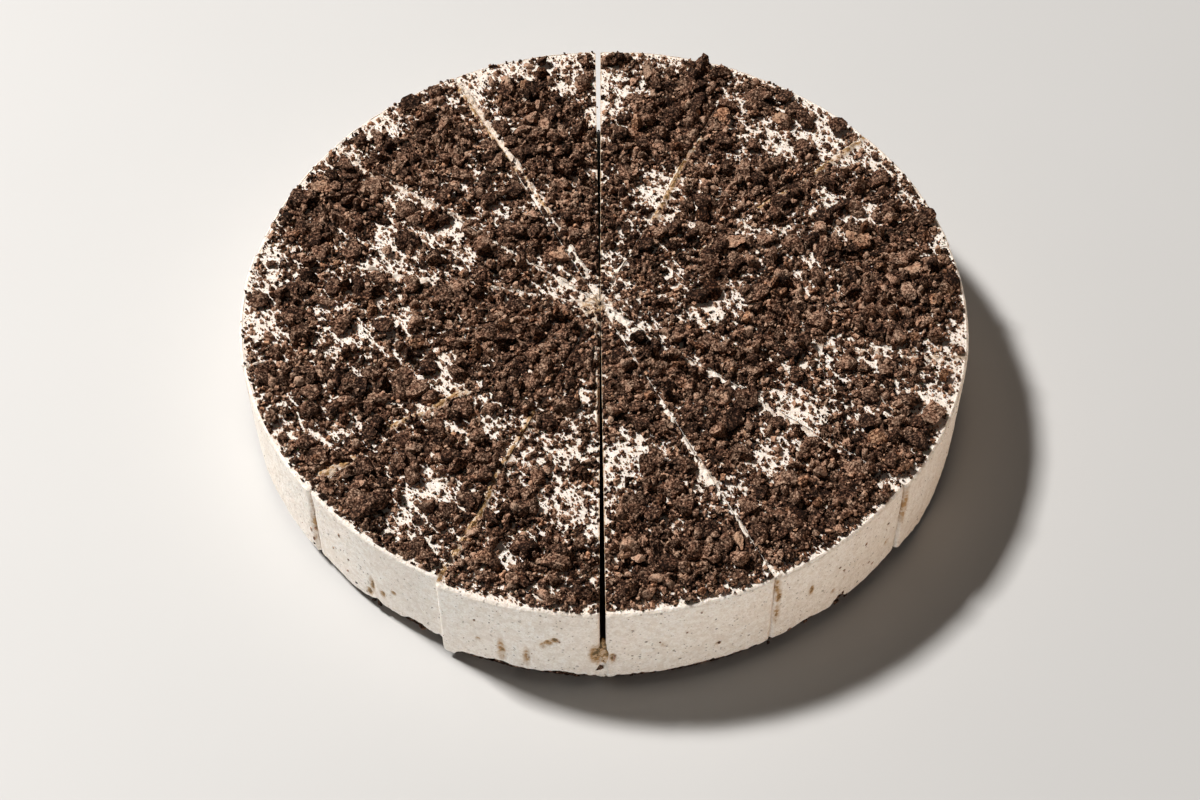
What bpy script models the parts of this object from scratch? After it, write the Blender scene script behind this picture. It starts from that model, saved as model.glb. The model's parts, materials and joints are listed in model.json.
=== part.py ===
"""A round cookies and cream cheesecake, already cut into wedges that still stand together.

Each wedge is two pieces: a thin crust of pressed cookie crumbs, and a thick cream filling on it.
The crumb topping is part of the filling that it is pressed into: a bed of small bumps, with larger lumps.
Sizes are in millimetres and become metres where a mesh is made.
Plan angles are in degrees, clockwise from the back, as seen from above.
"""

import math
import random

import bmesh
import bpy
from mathutils import Euler, Matrix, Vector
from mathutils.geometry import delaunay_2d_cdt

MM = 0.001

# The whole cake
CAKE_RADIUS = 130.0
CRUST_HEIGHT = 5.5
CREAM_HEIGHT = 38.0
CREAM_TOP = CRUST_HEIGHT + CREAM_HEIGHT
CRUST_RECESS = 3.3  # the crust stands back under the cream by this much
FOOT_RECESS = 0.9  # the cream's lower edge stands back from its top edge by this much
RIM_ROUND = 2.2
RIM_STEPS = 3
ARC_STEPS = 6
SHARP_ANGLE = 35.0

# The cuts: straight knife lines right across the cake, all through one hub
HUB = Vector((-1.2, 0.0))
CUT_LINES = (-0.2, 24.7, 50.7, 78.0, 101.2, 127.9, 153.9)
WEDGES = 2 * len(CUT_LINES)
PIECE_GAP = 0.3
OPEN_CUT_GAP = 2.0  # the first line has opened, and is this wide at the rim

# How far each wedge's rim stands out, at its first cut and at its second
RIM_OFFSETS = (
    (0.6, 1.4),
    (1.0, 0.6),
    (0.8, 0.5),
    (0.2, 0.8),
    (0.8, 0.2),
    (-1.4, -0.6),
    (-0.6, 0.6),
    (0.6, 0.0),
    (-2.4, -2.8),
    (-2.2, -0.2),
    (0.2, 0.6),
    (-0.4, -0.2),
    (0.0, 0.4),
    (0.2, 0.6),
)

# The lumps that stand out in the topping: x, y, length, width, height, turn from the X axis
SHOWN_LUMPS = (
    (39, 120, 8.0, 7.0, 9.0, 80),
    (47, 117, 9.0, 6.5, 6.0, 20),
    (38, 98, 12.0, 6.0, 6.0, 85),
    (60, 101, 10.0, 8.0, 7.0, 0),
    (122, 40, 7.5, 7.0, 6.0, 90),
    (70, 27, 10.0, 8.0, 5.5, 0),
    (55, 3, 11.0, 6.0, 6.0, 35),
    (124, 9, 9.0, 8.0, 6.0, 0),
    (75, -14, 10.0, 9.0, 5.0, 20),
    (113, -52, 9.0, 7.0, 6.0, 20),
    (88, -70, 10.0, 7.5, 4.5, 0),
    (44, -53, 13.0, 6.0, 5.5, 65),
    (12, -53, 10.0, 8.0, 4.5, 0),
    (8, -39, 14.0, 5.5, 6.0, 25),
    (-10, -123, 8.5, 7.0, 5.5, 45),
    (-16, -111, 10.0, 8.0, 6.0, 20),
    (-79, -89, 14.0, 8.5, 9.0, 60),
    (-50, -67, 11.0, 7.0, 5.5, 0),
    (-66, -70, 9.5, 8.0, 6.0, 0),
    (-83, -47, 8.0, 6.5, 4.5, 70),
    (-70, -35, 9.5, 8.0, 6.0, 0),
    (-109, -6, 12.0, 6.5, 5.0, 0),
    (-30, -9, 11.0, 6.5, 6.0, 10),
    (-72, 29, 9.0, 7.5, 6.0, 0),
    (-114, 50, 9.0, 8.0, 7.0, 0),
    (-98, 52, 13.0, 6.5, 6.5, 25),
    (-15, 65, 10.5, 8.0, 7.0, 90),
    (-55, 71, 11.0, 5.0, 5.5, 85),
    (-68, 83, 10.0, 5.5, 6.0, 70),
    (-27, 107, 8.5, 8.0, 6.5, 60),
    (-37, 107, 9.0, 8.0, 6.5, 100),
)

# The places that the topping leaves bare: x, y, radius
BARE_PATCHES = (
    (-12, 124, 5),
    (29, 126, 5),
    (5, 112, 5),
    (52, 100, 6),
    (83, 88, 9),
    (101, 71, 6),
    (22, 59, 7),
    (15, 43, 5),
    (116, 49, 4),
    (47, 3, 5),
    (122, -26, 6),
    (113, -43, 6),
    (68, -49, 8),
    (56, -68, 6),
    (9, -67, 6),
    (-13, -65, 7),
    (-13, -85, 8),
    (-38, -54, 5),
    (-57, -78, 6),
    (-67, -92, 7),
    (-108, -57, 5),
    (-122, -10, 7),
    (-124, 11, 6),
    (-97, 74, 5),
    (-84, 90, 7),
    (-46, 117, 6),
)

# The bed of crumbs between the lumps: uneven points, high on a crumb and low between two
BED_SPACING = 3.9
BED_TRIES = 900
BED_HIGH = (1.2, 2.8)
BED_LOW = (0.2, 0.9)
BED_HIGH_SHARE = 0.6
BED_RIM_MARGIN = 2.0
BED_CUT_MARGIN = 2.4
BED_CUT_HEIGHT = 0.9
CUT_EDGE_SPACING = 5.5
COVERED_HEIGHT = 0.3  # above this the surface is crumbs, and below it is cream

# The other lumps of the topping, drawn by a rule
LUMPS_PER_WEDGE = 12
LUMP_LONGEST = 9.0
LUMP_SHORTEST = 5.8
LUMP_WIDTH_SHARE = (0.70, 0.95)
LUMP_HEIGHT_SHARE = (0.55, 0.75)
LUMP_JITTER = 0.14  # how uneven a lump's corners are
LUMP_TILT = 14.0
LUMP_SUNK_SHARE = 0.25
LUMP_CLEARANCE = 0.5
LUMP_OVER_PATCH = 0.3  # the share of its length by which a lump keeps off a bare patch
LUMP_RIM_MARGIN = 1.2
LUMP_TRIES = 3000
TOPPING_SEED = 41
FLATNESS = 1e-6  # how near two plan points may be before they count as one

CREAM_COLOUR = (0.775, 0.715, 0.630, 1.0)
COOKIE_COLOUR = (0.052, 0.030, 0.021, 1.0)


def plain_material(name, colour, roughness):
    """A Principled material with one colour."""
    material = bpy.data.materials.new(name)
    material.use_nodes = True
    shader = material.node_tree.nodes["Principled BSDF"]
    shader.inputs["Base Color"].default_value = colour
    shader.inputs["Roughness"].default_value = roughness
    shader.inputs["Metallic"].default_value = 0.0
    return material


def plan_direction(angle):
    """The unit plan vector at an angle clockwise from the back."""
    return Vector((math.sin(math.radians(angle)), math.cos(math.radians(angle))))


def cut_angle(cut):
    """The angle of one of the cuts from the hub to the rim; the first is the one at the back."""
    line = cut % len(CUT_LINES)
    turn = 180.0 * (cut // len(CUT_LINES))
    return CUT_LINES[line] + turn


def cut_face(cut, side):
    """A wedge's face along a cut, as a plan point and a direction; side is 1 past the cut, -1 before it."""
    direction = plan_direction(cut_angle(cut))
    across = Vector((direction.y, -direction.x)) * side
    rim_gap = OPEN_CUT_GAP if cut % len(CUT_LINES) == 0 else PIECE_GAP
    near = HUB + across * PIECE_GAP / 2
    far = HUB + direction * CAKE_RADIUS + across * rim_gap / 2
    return near, (far - near).normalized()


def wedge_faces(wedge):
    return cut_face(wedge, 1), cut_face(wedge + 1, -1)


def wedge_angle(wedge):
    """The angle between the two cuts of a wedge."""
    return (cut_angle(wedge + 1) - cut_angle(wedge)) % 360.0


def wedge_tip(wedge):
    """Where the two cut faces of a wedge meet."""
    (first, along), (second, other) = wedge_faces(wedge)
    share = (second - first).cross(other) / along.cross(other)
    return first + along * share


def reach_radius(face, radius):
    """The point where a cut face meets a circle round the cake's axis."""
    point, along = face
    half = point.dot(along)
    share = -half + math.sqrt(half * half - point.length_squared + radius * radius)
    return point + along * share


def rim_offset(wedge, share):
    first, second = RIM_OFFSETS[wedge]
    return first + (second - first) * share


def wedge_outline(wedge, radius):
    """A wedge's plan outline: its tip, then points round its rim."""
    first, second = wedge_faces(wedge)
    start = reach_radius(first, radius + rim_offset(wedge, 0.0))
    end = reach_radius(second, radius + rim_offset(wedge, 1.0))
    start_angle = math.atan2(start.x, start.y)
    sweep = (math.atan2(end.x, end.y) - start_angle) % math.tau
    outline = [wedge_tip(wedge), start]
    for step in range(1, ARC_STEPS):
        share = step / ARC_STEPS
        angle = start_angle + sweep * share
        outline.append(Vector((math.sin(angle), math.cos(angle))) * (radius + rim_offset(wedge, share)))
    outline.append(end)
    return outline


def finished_solid(name, bm, materials):
    """An object of the scene from a closed bmesh, which is freed."""
    bmesh.ops.recalc_face_normals(bm, faces=bm.faces)
    mesh = bpy.data.meshes.new(name)
    bm.to_mesh(mesh)
    bm.free()
    for material in materials:
        mesh.materials.append(material)
    mesh.shade_smooth()
    mesh.set_sharp_from_angle(angle=math.radians(SHARP_ANGLE))
    solid = bpy.data.objects.new(name, mesh)
    bpy.context.scene.collection.objects.link(solid)
    return solid


def new_point(bm, point, height):
    return bm.verts.new((point.x * MM, point.y * MM, height * MM))


def crust_wedge(wedge, material):
    """The pressed crumb base under one wedge, a plain slab set back from the rim."""
    outline = wedge_outline(wedge, CAKE_RADIUS - CRUST_RECESS)
    bm = bmesh.new()
    lower = [new_point(bm, point, 0.0) for point in outline]
    upper = [new_point(bm, point, CRUST_HEIGHT - PIECE_GAP / 2) for point in outline]
    for index in range(len(outline)):
        after = (index + 1) % len(outline)
        bm.faces.new((lower[index], lower[after], upper[after], upper[index]))
    bm.faces.new(reversed(lower))
    bm.faces.new(upper)
    return finished_solid(f"crust_{wedge + 1:02d}", bm, [material])


def rim_profile():
    """The radius and height of the cream's side, from its foot to the top of its rounded edge."""
    profile = [(CAKE_RADIUS - FOOT_RECESS, CRUST_HEIGHT + PIECE_GAP / 2)]
    for step in range(RIM_STEPS + 1):
        turn = math.pi / 2 * step / RIM_STEPS
        radius = CAKE_RADIUS - RIM_ROUND * (1 - math.cos(turn))
        profile.append((radius, CREAM_TOP - RIM_ROUND * (1 - math.sin(turn))))
    return profile


def inward_distance(face, side, point):
    """How far inside a cut face a plan point lies."""
    start, along = face
    return (point - start).dot(Vector((along.y, -along.x)) * side)


def is_bare(point, reach):
    return any((point - Vector((x, y))).length < radius + reach for x, y, radius in BARE_PATCHES)


def bed_height(point, rng):
    """How high the crumbs stand over the cream at one point of the bed."""
    level = rng.uniform(*BED_HIGH) if rng.random() < BED_HIGH_SHARE else rng.uniform(*BED_LOW)
    return 0.0 if is_bare(point, 0.0) else level


def bed_points(wedge, rng):
    """The points of one wedge's crumb bed that lie clear of its edges, spaced evenly without order."""
    first, second = wedge_faces(wedge)
    limit = CAKE_RADIUS - RIM_ROUND - BED_RIM_MARGIN + min(RIM_OFFSETS[wedge])
    points = []
    for _ in range(BED_TRIES):
        angle = cut_angle(wedge) + wedge_angle(wedge) * rng.random()
        point = HUB + plan_direction(angle) * CAKE_RADIUS * math.sqrt(rng.random())
        edge = min(inward_distance(first, 1, point), inward_distance(second, -1, point))
        if edge < BED_CUT_MARGIN or point.length > limit:
            continue
        if all((point - other).length > BED_SPACING for other in points):
            points.append(point)
    return points


def cut_edge(start, end, rng):
    """Points with their heights along the top of a cut face, from the rim in to the tip, without its ends."""
    steps = round((end - start).length / CUT_EDGE_SPACING)
    edge = []
    for step in range(1, steps):
        point = start.lerp(end, step / steps)
        level = 0.0 if is_bare(point, 0.0) else rng.uniform(0.0, BED_CUT_HEIGHT)
        edge.append((point, CREAM_TOP + level))
    return edge


def cream_wedge(wedge, cream_material, crumb_material):
    """The filling of one wedge: flat cut faces, a side that leans out to a rounded edge, the crumb bed."""
    rng = random.Random(TOPPING_SEED + 2 * WEDGES + wedge)
    bm = bmesh.new()
    columns = [wedge_outline(wedge, radius)[1:] for radius, _ in rim_profile()]
    heights = [height for _, height in rim_profile()]
    rows = [[new_point(bm, point, height) for point in row] for row, height in zip(columns, heights)]
    tip = wedge_tip(wedge)
    foot = new_point(bm, tip, heights[0])
    for lower, upper in zip(rows, rows[1:]):
        for index in range(ARC_STEPS):
            bm.faces.new((lower[index], lower[index + 1], upper[index + 1], upper[index]))
    bm.faces.new([foot] + rows[0])

    first_edge = cut_edge(columns[-1][0], tip, rng)
    second_edge = cut_edge(columns[-1][-1], tip, rng)
    plan = list(columns[-1]) + [point for point, _ in second_edge] + [tip]
    plan += [point for point, _ in reversed(first_edge)]
    second_tops = [new_point(bm, point, height) for point, height in second_edge]
    first_tops = [new_point(bm, point, height) for point, height in first_edge]
    peak = new_point(bm, tip, CREAM_TOP)
    border = rows[-1] + second_tops + [peak] + first_tops[::-1]
    bm.faces.new([foot] + [row[0] for row in rows] + first_tops + [peak])
    bm.faces.new([foot] + [row[-1] for row in rows] + second_tops + [peak])

    inside = bed_points(wedge, rng)
    tops = border + [new_point(bm, point, CREAM_TOP + bed_height(point, rng)) for point in inside]
    outline = [list(range(len(border)))]
    _, _, triangles, sources, _, _ = delaunay_2d_cdt(plan + inside, [], outline, 1, FLATNESS)
    for triangle in triangles:
        face = bm.faces.new([tops[sources[corner][0]] for corner in triangle])
        level = sum(vert.co.z for vert in face.verts) / 3 / MM
        face.material_index = 1 if level > CREAM_TOP + COVERED_HEIGHT else 0
    return finished_solid(f"filling_{wedge + 1:02d}", bm, [cream_material, crumb_material])


def settled(wedge, point, reach):
    """The point moved, if it has to be, so that a lump of that reach stays off the cuts and the rim."""
    first, second = wedge_faces(wedge)
    room = reach + LUMP_CLEARANCE
    for face, side in ((first, 1), (second, -1)):
        lacking = room - inward_distance(face, side, point)
        if lacking > 0:
            along = face[1]
            point = point + Vector((along.y, -along.x)) * side * lacking
    limit = CAKE_RADIUS + min(RIM_OFFSETS[wedge]) - LUMP_RIM_MARGIN - reach
    if point.length > limit:
        point = point * (limit / point.length)
    return point


def wedge_of(point):
    """The wedge that a plan point lies in."""
    angle = math.degrees(math.atan2(point.x - HUB.x, point.y - HUB.y))
    for wedge in range(WEDGES):
        if (angle - cut_angle(wedge)) % 360.0 < wedge_angle(wedge):
            return wedge
    return 0


def wedge_lumps(wedge):
    """Every lump on one wedge, the shown ones first: place, length, width, height and turn."""
    lumps = []
    for x, y, length, width, height, turn in SHOWN_LUMPS:
        if wedge_of(Vector((x, y))) == wedge:
            place = settled(wedge, Vector((x, y)), length / 2)
            lumps.append((place, length, width, height, turn))
    rng = random.Random(TOPPING_SEED + wedge)
    for _ in range(LUMP_TRIES):
        if len(lumps) >= LUMPS_PER_WEDGE:
            break
        length = LUMP_LONGEST + (LUMP_SHORTEST - LUMP_LONGEST) * len(lumps) / LUMPS_PER_WEDGE
        angle = cut_angle(wedge) + wedge_angle(wedge) * rng.random()
        place = HUB + plan_direction(angle) * CAKE_RADIUS * math.sqrt(rng.random())
        width = length * rng.uniform(*LUMP_WIDTH_SHARE)
        height = length * rng.uniform(*LUMP_HEIGHT_SHARE)
        turn = rng.uniform(0.0, 180.0)
        if (settled(wedge, place, length / 2) - place).length > 0:
            continue
        if is_bare(place, LUMP_OVER_PATCH * length):
            continue
        if any((place - other[0]).length < (length + other[1]) / 2 + LUMP_CLEARANCE for other in lumps):
            continue
        lumps.append((place, length, width, height, turn))
    return lumps


def crumb_lump(name, lump, rng, material):
    """One lump of the topping: an uneven twenty-sided stone, sunk a little in the cream."""
    place, length, width, height, turn = lump
    bm = bmesh.new()
    bmesh.ops.create_icosphere(bm, subdivisions=1, radius=0.5)
    for vert in bm.verts:
        vert.co *= rng.uniform(1 - LUMP_JITTER, 1.0)
    tilt = math.radians(LUMP_TILT)
    lean = Euler((rng.uniform(-tilt, tilt), rng.uniform(-tilt, tilt), math.radians(turn)))
    size = Matrix.Diagonal((length * MM, width * MM, height * MM, 1.0))
    lift = CREAM_TOP + height * (0.5 - LUMP_SUNK_SHARE)
    where = Matrix.Translation((place.x * MM, place.y * MM, lift * MM))
    bm.transform(where @ lean.to_matrix().to_4x4() @ size)
    mesh = bpy.data.meshes.new(name)
    bm.to_mesh(mesh)
    bm.free()
    mesh.materials.append(material)
    return bpy.data.objects.new(name, mesh)


def press_in_lumps(filling, wedge, material):
    """Joins a wedge's lumps to its filling with one Boolean union."""
    crumbs = bpy.data.collections.new(f"{filling.name}_lumps")
    bpy.context.scene.collection.children.link(crumbs)
    rng = random.Random(TOPPING_SEED + WEDGES + wedge)
    for index, lump in enumerate(wedge_lumps(wedge)):
        crumbs.objects.link(crumb_lump(f"{filling.name}_lump_{index:02d}", lump, rng, material))
    union = filling.modifiers.new("lumps", "BOOLEAN")
    union.operation = "UNION"
    union.operand_type = "COLLECTION"
    union.collection = crumbs
    union.solver = "EXACT"
    union.material_mode = "TRANSFER"
    graph = bpy.context.evaluated_depsgraph_get()
    joined = bpy.data.meshes.new_from_object(filling.evaluated_get(graph))
    filling.modifiers.clear()
    plain = filling.data
    filling.data = joined
    bpy.data.meshes.remove(plain)
    joined.name = filling.name
    for lump in list(crumbs.objects):
        shape = lump.data
        bpy.data.objects.remove(lump)
        bpy.data.meshes.remove(shape)
    bpy.data.collections.remove(crumbs)


for leftover in list(bpy.data.objects):
    bpy.data.objects.remove(leftover)

cream = plain_material("cream", CREAM_COLOUR, 0.55)
cookie = plain_material("cookie_crumb", COOKIE_COLOUR, 0.85)
for number in range(WEDGES):
    crust_wedge(number, cookie)
    press_in_lumps(cream_wedge(number, cream, cookie), number, cookie)
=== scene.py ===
"""The looks of a whole cookies and cream cheesecake, cut into fourteen wedges that still stand together.

Sizes are in millimetres and become metres where a mesh is made.
Plan angles are in degrees, clockwise from the back, as seen from above.
"""

import json
import math
import random

import bmesh
import bpy
import numpy as np
from mathutils import Matrix, Vector, noise

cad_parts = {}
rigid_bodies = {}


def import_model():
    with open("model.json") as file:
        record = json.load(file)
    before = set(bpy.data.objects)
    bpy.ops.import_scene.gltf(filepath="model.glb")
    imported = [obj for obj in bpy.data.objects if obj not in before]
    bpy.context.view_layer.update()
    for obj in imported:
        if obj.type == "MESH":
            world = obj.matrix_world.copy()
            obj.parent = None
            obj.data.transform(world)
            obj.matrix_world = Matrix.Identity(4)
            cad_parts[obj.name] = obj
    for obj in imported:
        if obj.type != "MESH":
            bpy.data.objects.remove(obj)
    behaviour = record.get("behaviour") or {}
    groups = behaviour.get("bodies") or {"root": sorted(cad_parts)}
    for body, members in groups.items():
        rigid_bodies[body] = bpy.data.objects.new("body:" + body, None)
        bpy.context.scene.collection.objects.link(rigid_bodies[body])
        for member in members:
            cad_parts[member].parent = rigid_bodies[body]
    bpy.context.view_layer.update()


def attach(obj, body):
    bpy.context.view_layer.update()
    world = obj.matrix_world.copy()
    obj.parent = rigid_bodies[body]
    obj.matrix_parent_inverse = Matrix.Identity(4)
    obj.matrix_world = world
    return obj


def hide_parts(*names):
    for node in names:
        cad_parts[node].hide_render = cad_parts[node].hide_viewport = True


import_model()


# The crusts. Every wedge stands on a thin base of cookie crumbs and butter, pressed flat in the tin and
# chilled until it holds. It is set back under the cream, and its side is as rough as the crumbs in it.
MM = 0.001
CAKE_RADIUS = 130.0
CRUST_HEIGHT = 5.5
CRUST_RECESS = 3.3
CRUST_REACH = CAKE_RADIUS - CRUST_RECESS + 0.5  # the crumbs in its side stand out a little
CRUST_SPACING = 0.65
CRUST_SIDE = 0.8  # what lies further out than this share of the cake's radius is the crust's side
PIECE_GAP = 0.3
OPEN_CUT_GAP = 2.0  # the first cut line has opened, and is this wide at the rim
HUB = Vector((-1.2, 0.0))
CUT_LINES = (-0.2, 24.7, 50.7, 78.0, 101.2, 127.9, 153.9)
WEDGES = 2 * len(CUT_LINES)

# How far each wedge's rim stands out, at its first cut and at its second
RIM_OFFSETS = (
    (0.6, 1.4),
    (1.0, 0.6),
    (0.8, 0.5),
    (0.2, 0.8),
    (0.8, 0.2),
    (-0.9, -0.3),
    (-0.2, 0.6),
    (0.6, 0.6),
    (-2.1, -2.1),
    (-1.5, -0.2),
    (0.2, 0.6),
    (-0.4, -0.2),
    (0.0, 0.4),
    (0.2, 0.6),
)


def plan_direction(angle):
    """The unit plan vector at an angle clockwise from the back."""
    return Vector((math.sin(math.radians(angle)), math.cos(math.radians(angle))))


def cut_angle(cut):
    """The angle of one of the cuts from the hub to the rim; the first is the one at the back."""
    return CUT_LINES[cut % len(CUT_LINES)] + 180.0 * (cut // len(CUT_LINES))


def cut_face(cut, side, inset=0.0):
    """A wedge's face along a cut, as a plan point and a direction; side is 1 past the cut, -1 before it."""
    direction = plan_direction(cut_angle(cut))
    across = Vector((direction.y, -direction.x)) * side
    rim_gap = OPEN_CUT_GAP if cut % len(CUT_LINES) == 0 else PIECE_GAP
    near = HUB + across * (PIECE_GAP / 2 + inset)
    far = HUB + direction * CAKE_RADIUS + across * (rim_gap / 2 + inset)
    return near, (far - near).normalized()


def wedge_faces(wedge, inset=0.0):
    return cut_face(wedge, 1, inset), cut_face(wedge + 1, -1, inset)


def wedge_tip(wedge, inset=0.0):
    """Where the two cut faces of a wedge meet."""
    (first, along), (second, other) = wedge_faces(wedge, inset)
    share = (second - first).cross(other) / along.cross(other)
    return first + along * share


def reach_angle(face, radius):
    """The plan angle, in radians, where a cut face meets a circle round the cake's axis."""
    point, along = face
    half = point.dot(along)
    end = point + along * (-half + math.sqrt(half * half - point.length_squared + radius * radius))
    return math.atan2(end.x, end.y)


def rim_row(wedge, radius, height, spacing, share=1.0, inset=0.0):
    """A row of points from a wedge's first cut to its second, a share of the way from tip to rim."""
    first, second = wedge_faces(wedge, inset)
    stand_out, after = RIM_OFFSETS[wedge]
    start = reach_angle(first, radius + stand_out)
    sweep = (reach_angle(second, radius + after) - start) % math.tau
    steps = max(1, round(sweep * radius * share / spacing))
    across = np.linspace(0.0, 1.0, steps + 1)
    angle = start + sweep * across
    reach = radius + stand_out + (after - stand_out) * across
    tip = np.array(wedge_tip(wedge, inset))
    rim = np.column_stack((np.sin(angle) * reach, np.cos(angle) * reach))
    plan = tip + (rim - tip) * share
    return np.column_stack((plan, np.full(len(plan), height)))


def stitched(rows):
    """The triangles that join each row of points to the next, whatever their numbers of points."""
    faces = []
    near = 0
    for inner, outer in zip(rows, rows[1:]):
        far = near + len(inner)
        here, there = 0, 0
        while here < len(inner) - 1 or there < len(outer) - 1:
            ahead = (there + 1) * (len(inner) - 1) <= (here + 1) * (len(outer) - 1)
            if there < len(outer) - 1 and (ahead or here == len(inner) - 1):
                faces.append((near + here, far + there + 1, far + there))
                there += 1
            else:
                faces.append((near + here, near + here + 1, far + there))
                here += 1
        near = far
    return faces


def wedge_mesh(name, rows, foot):
    """A closed mesh: rows of points from the tip out over the rim and back under it, and the tip's foot."""
    faces = stitched(rows)
    points = np.vstack(rows + [foot])
    ends = np.cumsum([len(row) for row in rows])
    starts = ends - [len(row) for row in rows]
    below = len(points) - 1
    faces.append([below, *starts])
    faces.append([below, *(ends[::-1] - 1)])
    faces.append([below, *range(starts[-1], ends[-1])])
    mesh = bpy.data.meshes.new(name)
    mesh.from_pydata((points * MM).tolist(), [], [tuple(int(corner) for corner in face) for face in faces])
    shell = bmesh.new()
    shell.from_mesh(mesh)
    bmesh.ops.recalc_face_normals(shell, faces=shell.faces)
    shell.to_mesh(mesh)
    shell.free()
    return mesh


def add(tree, kind, feeds=None, **settings):
    """A new node: feeds are the values or outputs that go into its sockets, and settings are its own."""
    node = tree.nodes.new(kind)
    for setting, value in settings.items():
        setattr(node, setting, value)
    for socket, value in (feeds or {}).items():
        if isinstance(value, bpy.types.NodeSocket):
            tree.links.new(value, node.inputs[socket])
        else:
            node.inputs[socket].default_value = value
    return node


def maths(tree, operation, *values):
    """The result of a Math node on values or outputs."""
    return add(tree, "ShaderNodeMath", dict(enumerate(values)), operation=operation).outputs[0]


def product(tree, first, *others):
    """Values or outputs multiplied with each other, one after another."""
    for other in others:
        first = maths(tree, "MULTIPLY", first, other)
    return first


def arrow_of(tree, operation, *values, scale=None):
    """The result of a Vector Math node on values or outputs."""
    feeds = dict(enumerate(values))
    if scale is not None:
        feeds["Scale"] = scale
    return add(tree, "ShaderNodeVectorMath", feeds, operation=operation).outputs[0]


def stored(tree, name, kind="FLOAT"):
    """The value that a mesh carries under a name, in a Geometry Nodes tree."""
    return add(tree, "GeometryNodeInputNamedAttribute", {"Name": name}, data_type=kind).outputs[0]


def noted(tree, geometry, name, value, domain="POINT"):
    """A shape with a value stored on it under a name."""
    feeds = {"Geometry": geometry, "Name": name, "Value": value}
    return add(tree, "GeometryNodeStoreNamedAttribute", feeds, domain=domain).outputs[0]


def moved(tree, geometry, offset, chosen=True):
    """A shape with its points, or the chosen ones, pushed by an offset."""
    feeds = {"Geometry": geometry, "Selection": chosen, "Offset": offset}
    return add(tree, "GeometryNodeSetPosition", feeds).outputs[0]


def place_in_mm(tree):
    """Each point's place in millimetres, in a Geometry Nodes tree."""
    return arrow_of(tree, "SCALE", add(tree, "GeometryNodeInputPosition").outputs[0], scale=1 / MM)


def in_plan(tree, place):
    """A place without its height."""
    return arrow_of(tree, "MULTIPLY", place, (1.0, 1.0, 0.0))


def own_numbers(tree, cells):
    """Three random numbers for each cell of a Voronoi pattern."""
    kind = "ShaderNodeSeparateColor" if tree.type == "SHADER" else "FunctionNodeSeparateColor"
    return add(tree, kind, {0: cells.outputs["Color"]}).outputs


def new_tree(name, **sizes):
    """An empty Geometry Nodes tree with a named number for each size, and its inputs."""
    tree = bpy.data.node_groups.new(name, "GeometryNodeTree")
    tree.interface.new_socket("Geometry", in_out="INPUT", socket_type="NodeSocketGeometry")
    for size, value in sizes.items():
        kind = "NodeSocketInt" if isinstance(value, int) else "NodeSocketFloat"
        tree.interface.new_socket(size, in_out="INPUT", socket_type=kind).default_value = value
    tree.interface.new_socket("Geometry", in_out="OUTPUT", socket_type="NodeSocketGeometry")
    return tree, tree.nodes.new("NodeGroupInput").outputs


def end_tree(tree, geometry, material, unevenness=None):
    """Closes a tree: its instances become real, may be made uneven, and get their material."""
    real = add(tree, "GeometryNodeRealizeInstances", {"Geometry": geometry}).outputs[0]
    if unevenness is not None:
        real = moved(tree, real, unevenness)
    smooth = add(tree, "GeometryNodeSetShadeSmooth", {"Geometry": real}).outputs[0]
    coated = add(tree, "GeometryNodeSetMaterial", {"Geometry": smooth, "Material": material}).outputs[0]
    add(tree, "NodeGroupOutput", {"Geometry": coated})


def worked(name, mesh, tree, **sizes):
    """A plain mesh object: what a Geometry Nodes tree makes of a mesh."""
    piece = bpy.data.objects.new(name, mesh)
    bpy.context.scene.collection.objects.link(piece)
    modifier = piece.modifiers.new(tree.name, "NODES")
    modifier.node_group = tree
    for socket in tree.interface.items_tree:
        if socket.in_out == "INPUT" and socket.name in sizes:
            modifier[socket.identifier] = sizes[socket.name]
    made = bpy.data.meshes.new_from_object(piece.evaluated_get(bpy.context.evaluated_depsgraph_get()))
    piece.modifiers.remove(modifier)
    piece.data = made
    made.name = name
    bpy.data.meshes.remove(mesh)
    return piece


def placed(piece, slot, *nodes):
    """Fixes a finished piece to the cake, in place of some solids."""
    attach(piece, "root")
    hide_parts(*nodes)


def new_material(name, roughness):
    """A material with its shader, and the piece's own place in millimetres as the pattern's coordinates."""
    material = bpy.data.materials.new(name)
    material.use_nodes = True
    tree = material.node_tree
    shader = tree.nodes["Principled BSDF"]
    shader.inputs["Roughness"].default_value = roughness
    here = add(tree, "ShaderNodeTexCoord").outputs["Object"]
    return material, tree, shader, arrow_of(tree, "SCALE", here, scale=1 / MM)


def noise_at(tree, where, size, detail=2.0, roughness=0.5):
    """Even noise with features of a size in millimetres."""
    feeds = {"Vector": where, "Scale": 1 / size, "Detail": detail, "Roughness": roughness}
    return add(tree, "ShaderNodeTexNoise", feeds).outputs["Fac"]


def eased(tree, value, start, end, low=0.0, high=1.0):
    """A value brought from one range to another, smoothly and held at both ends."""
    feeds = {"Value": value, "From Min": start, "From Max": end, "To Min": low, "To Max": high}
    return add(tree, "ShaderNodeMapRange", feeds, interpolation_type="SMOOTHSTEP").outputs[0]


def blended(tree, share, under, over, way="MIX"):
    """One colour laid over another by a share."""
    feeds = {"Factor": share, 6: under, 7: over}
    return add(tree, "ShaderNodeMix", feeds, data_type="RGBA", blend_type=way).outputs[2]


def raised(tree, height, depth, strength=1.0, below=None):
    """The normals that a height in the pattern gives, its depth in millimetres."""
    feeds = {"Height": height, "Distance": depth * MM, "Strength": strength}
    if below is not None:
        feeds["Normal"] = below
    return add(tree, "ShaderNodeBump", feeds).outputs[0]


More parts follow.
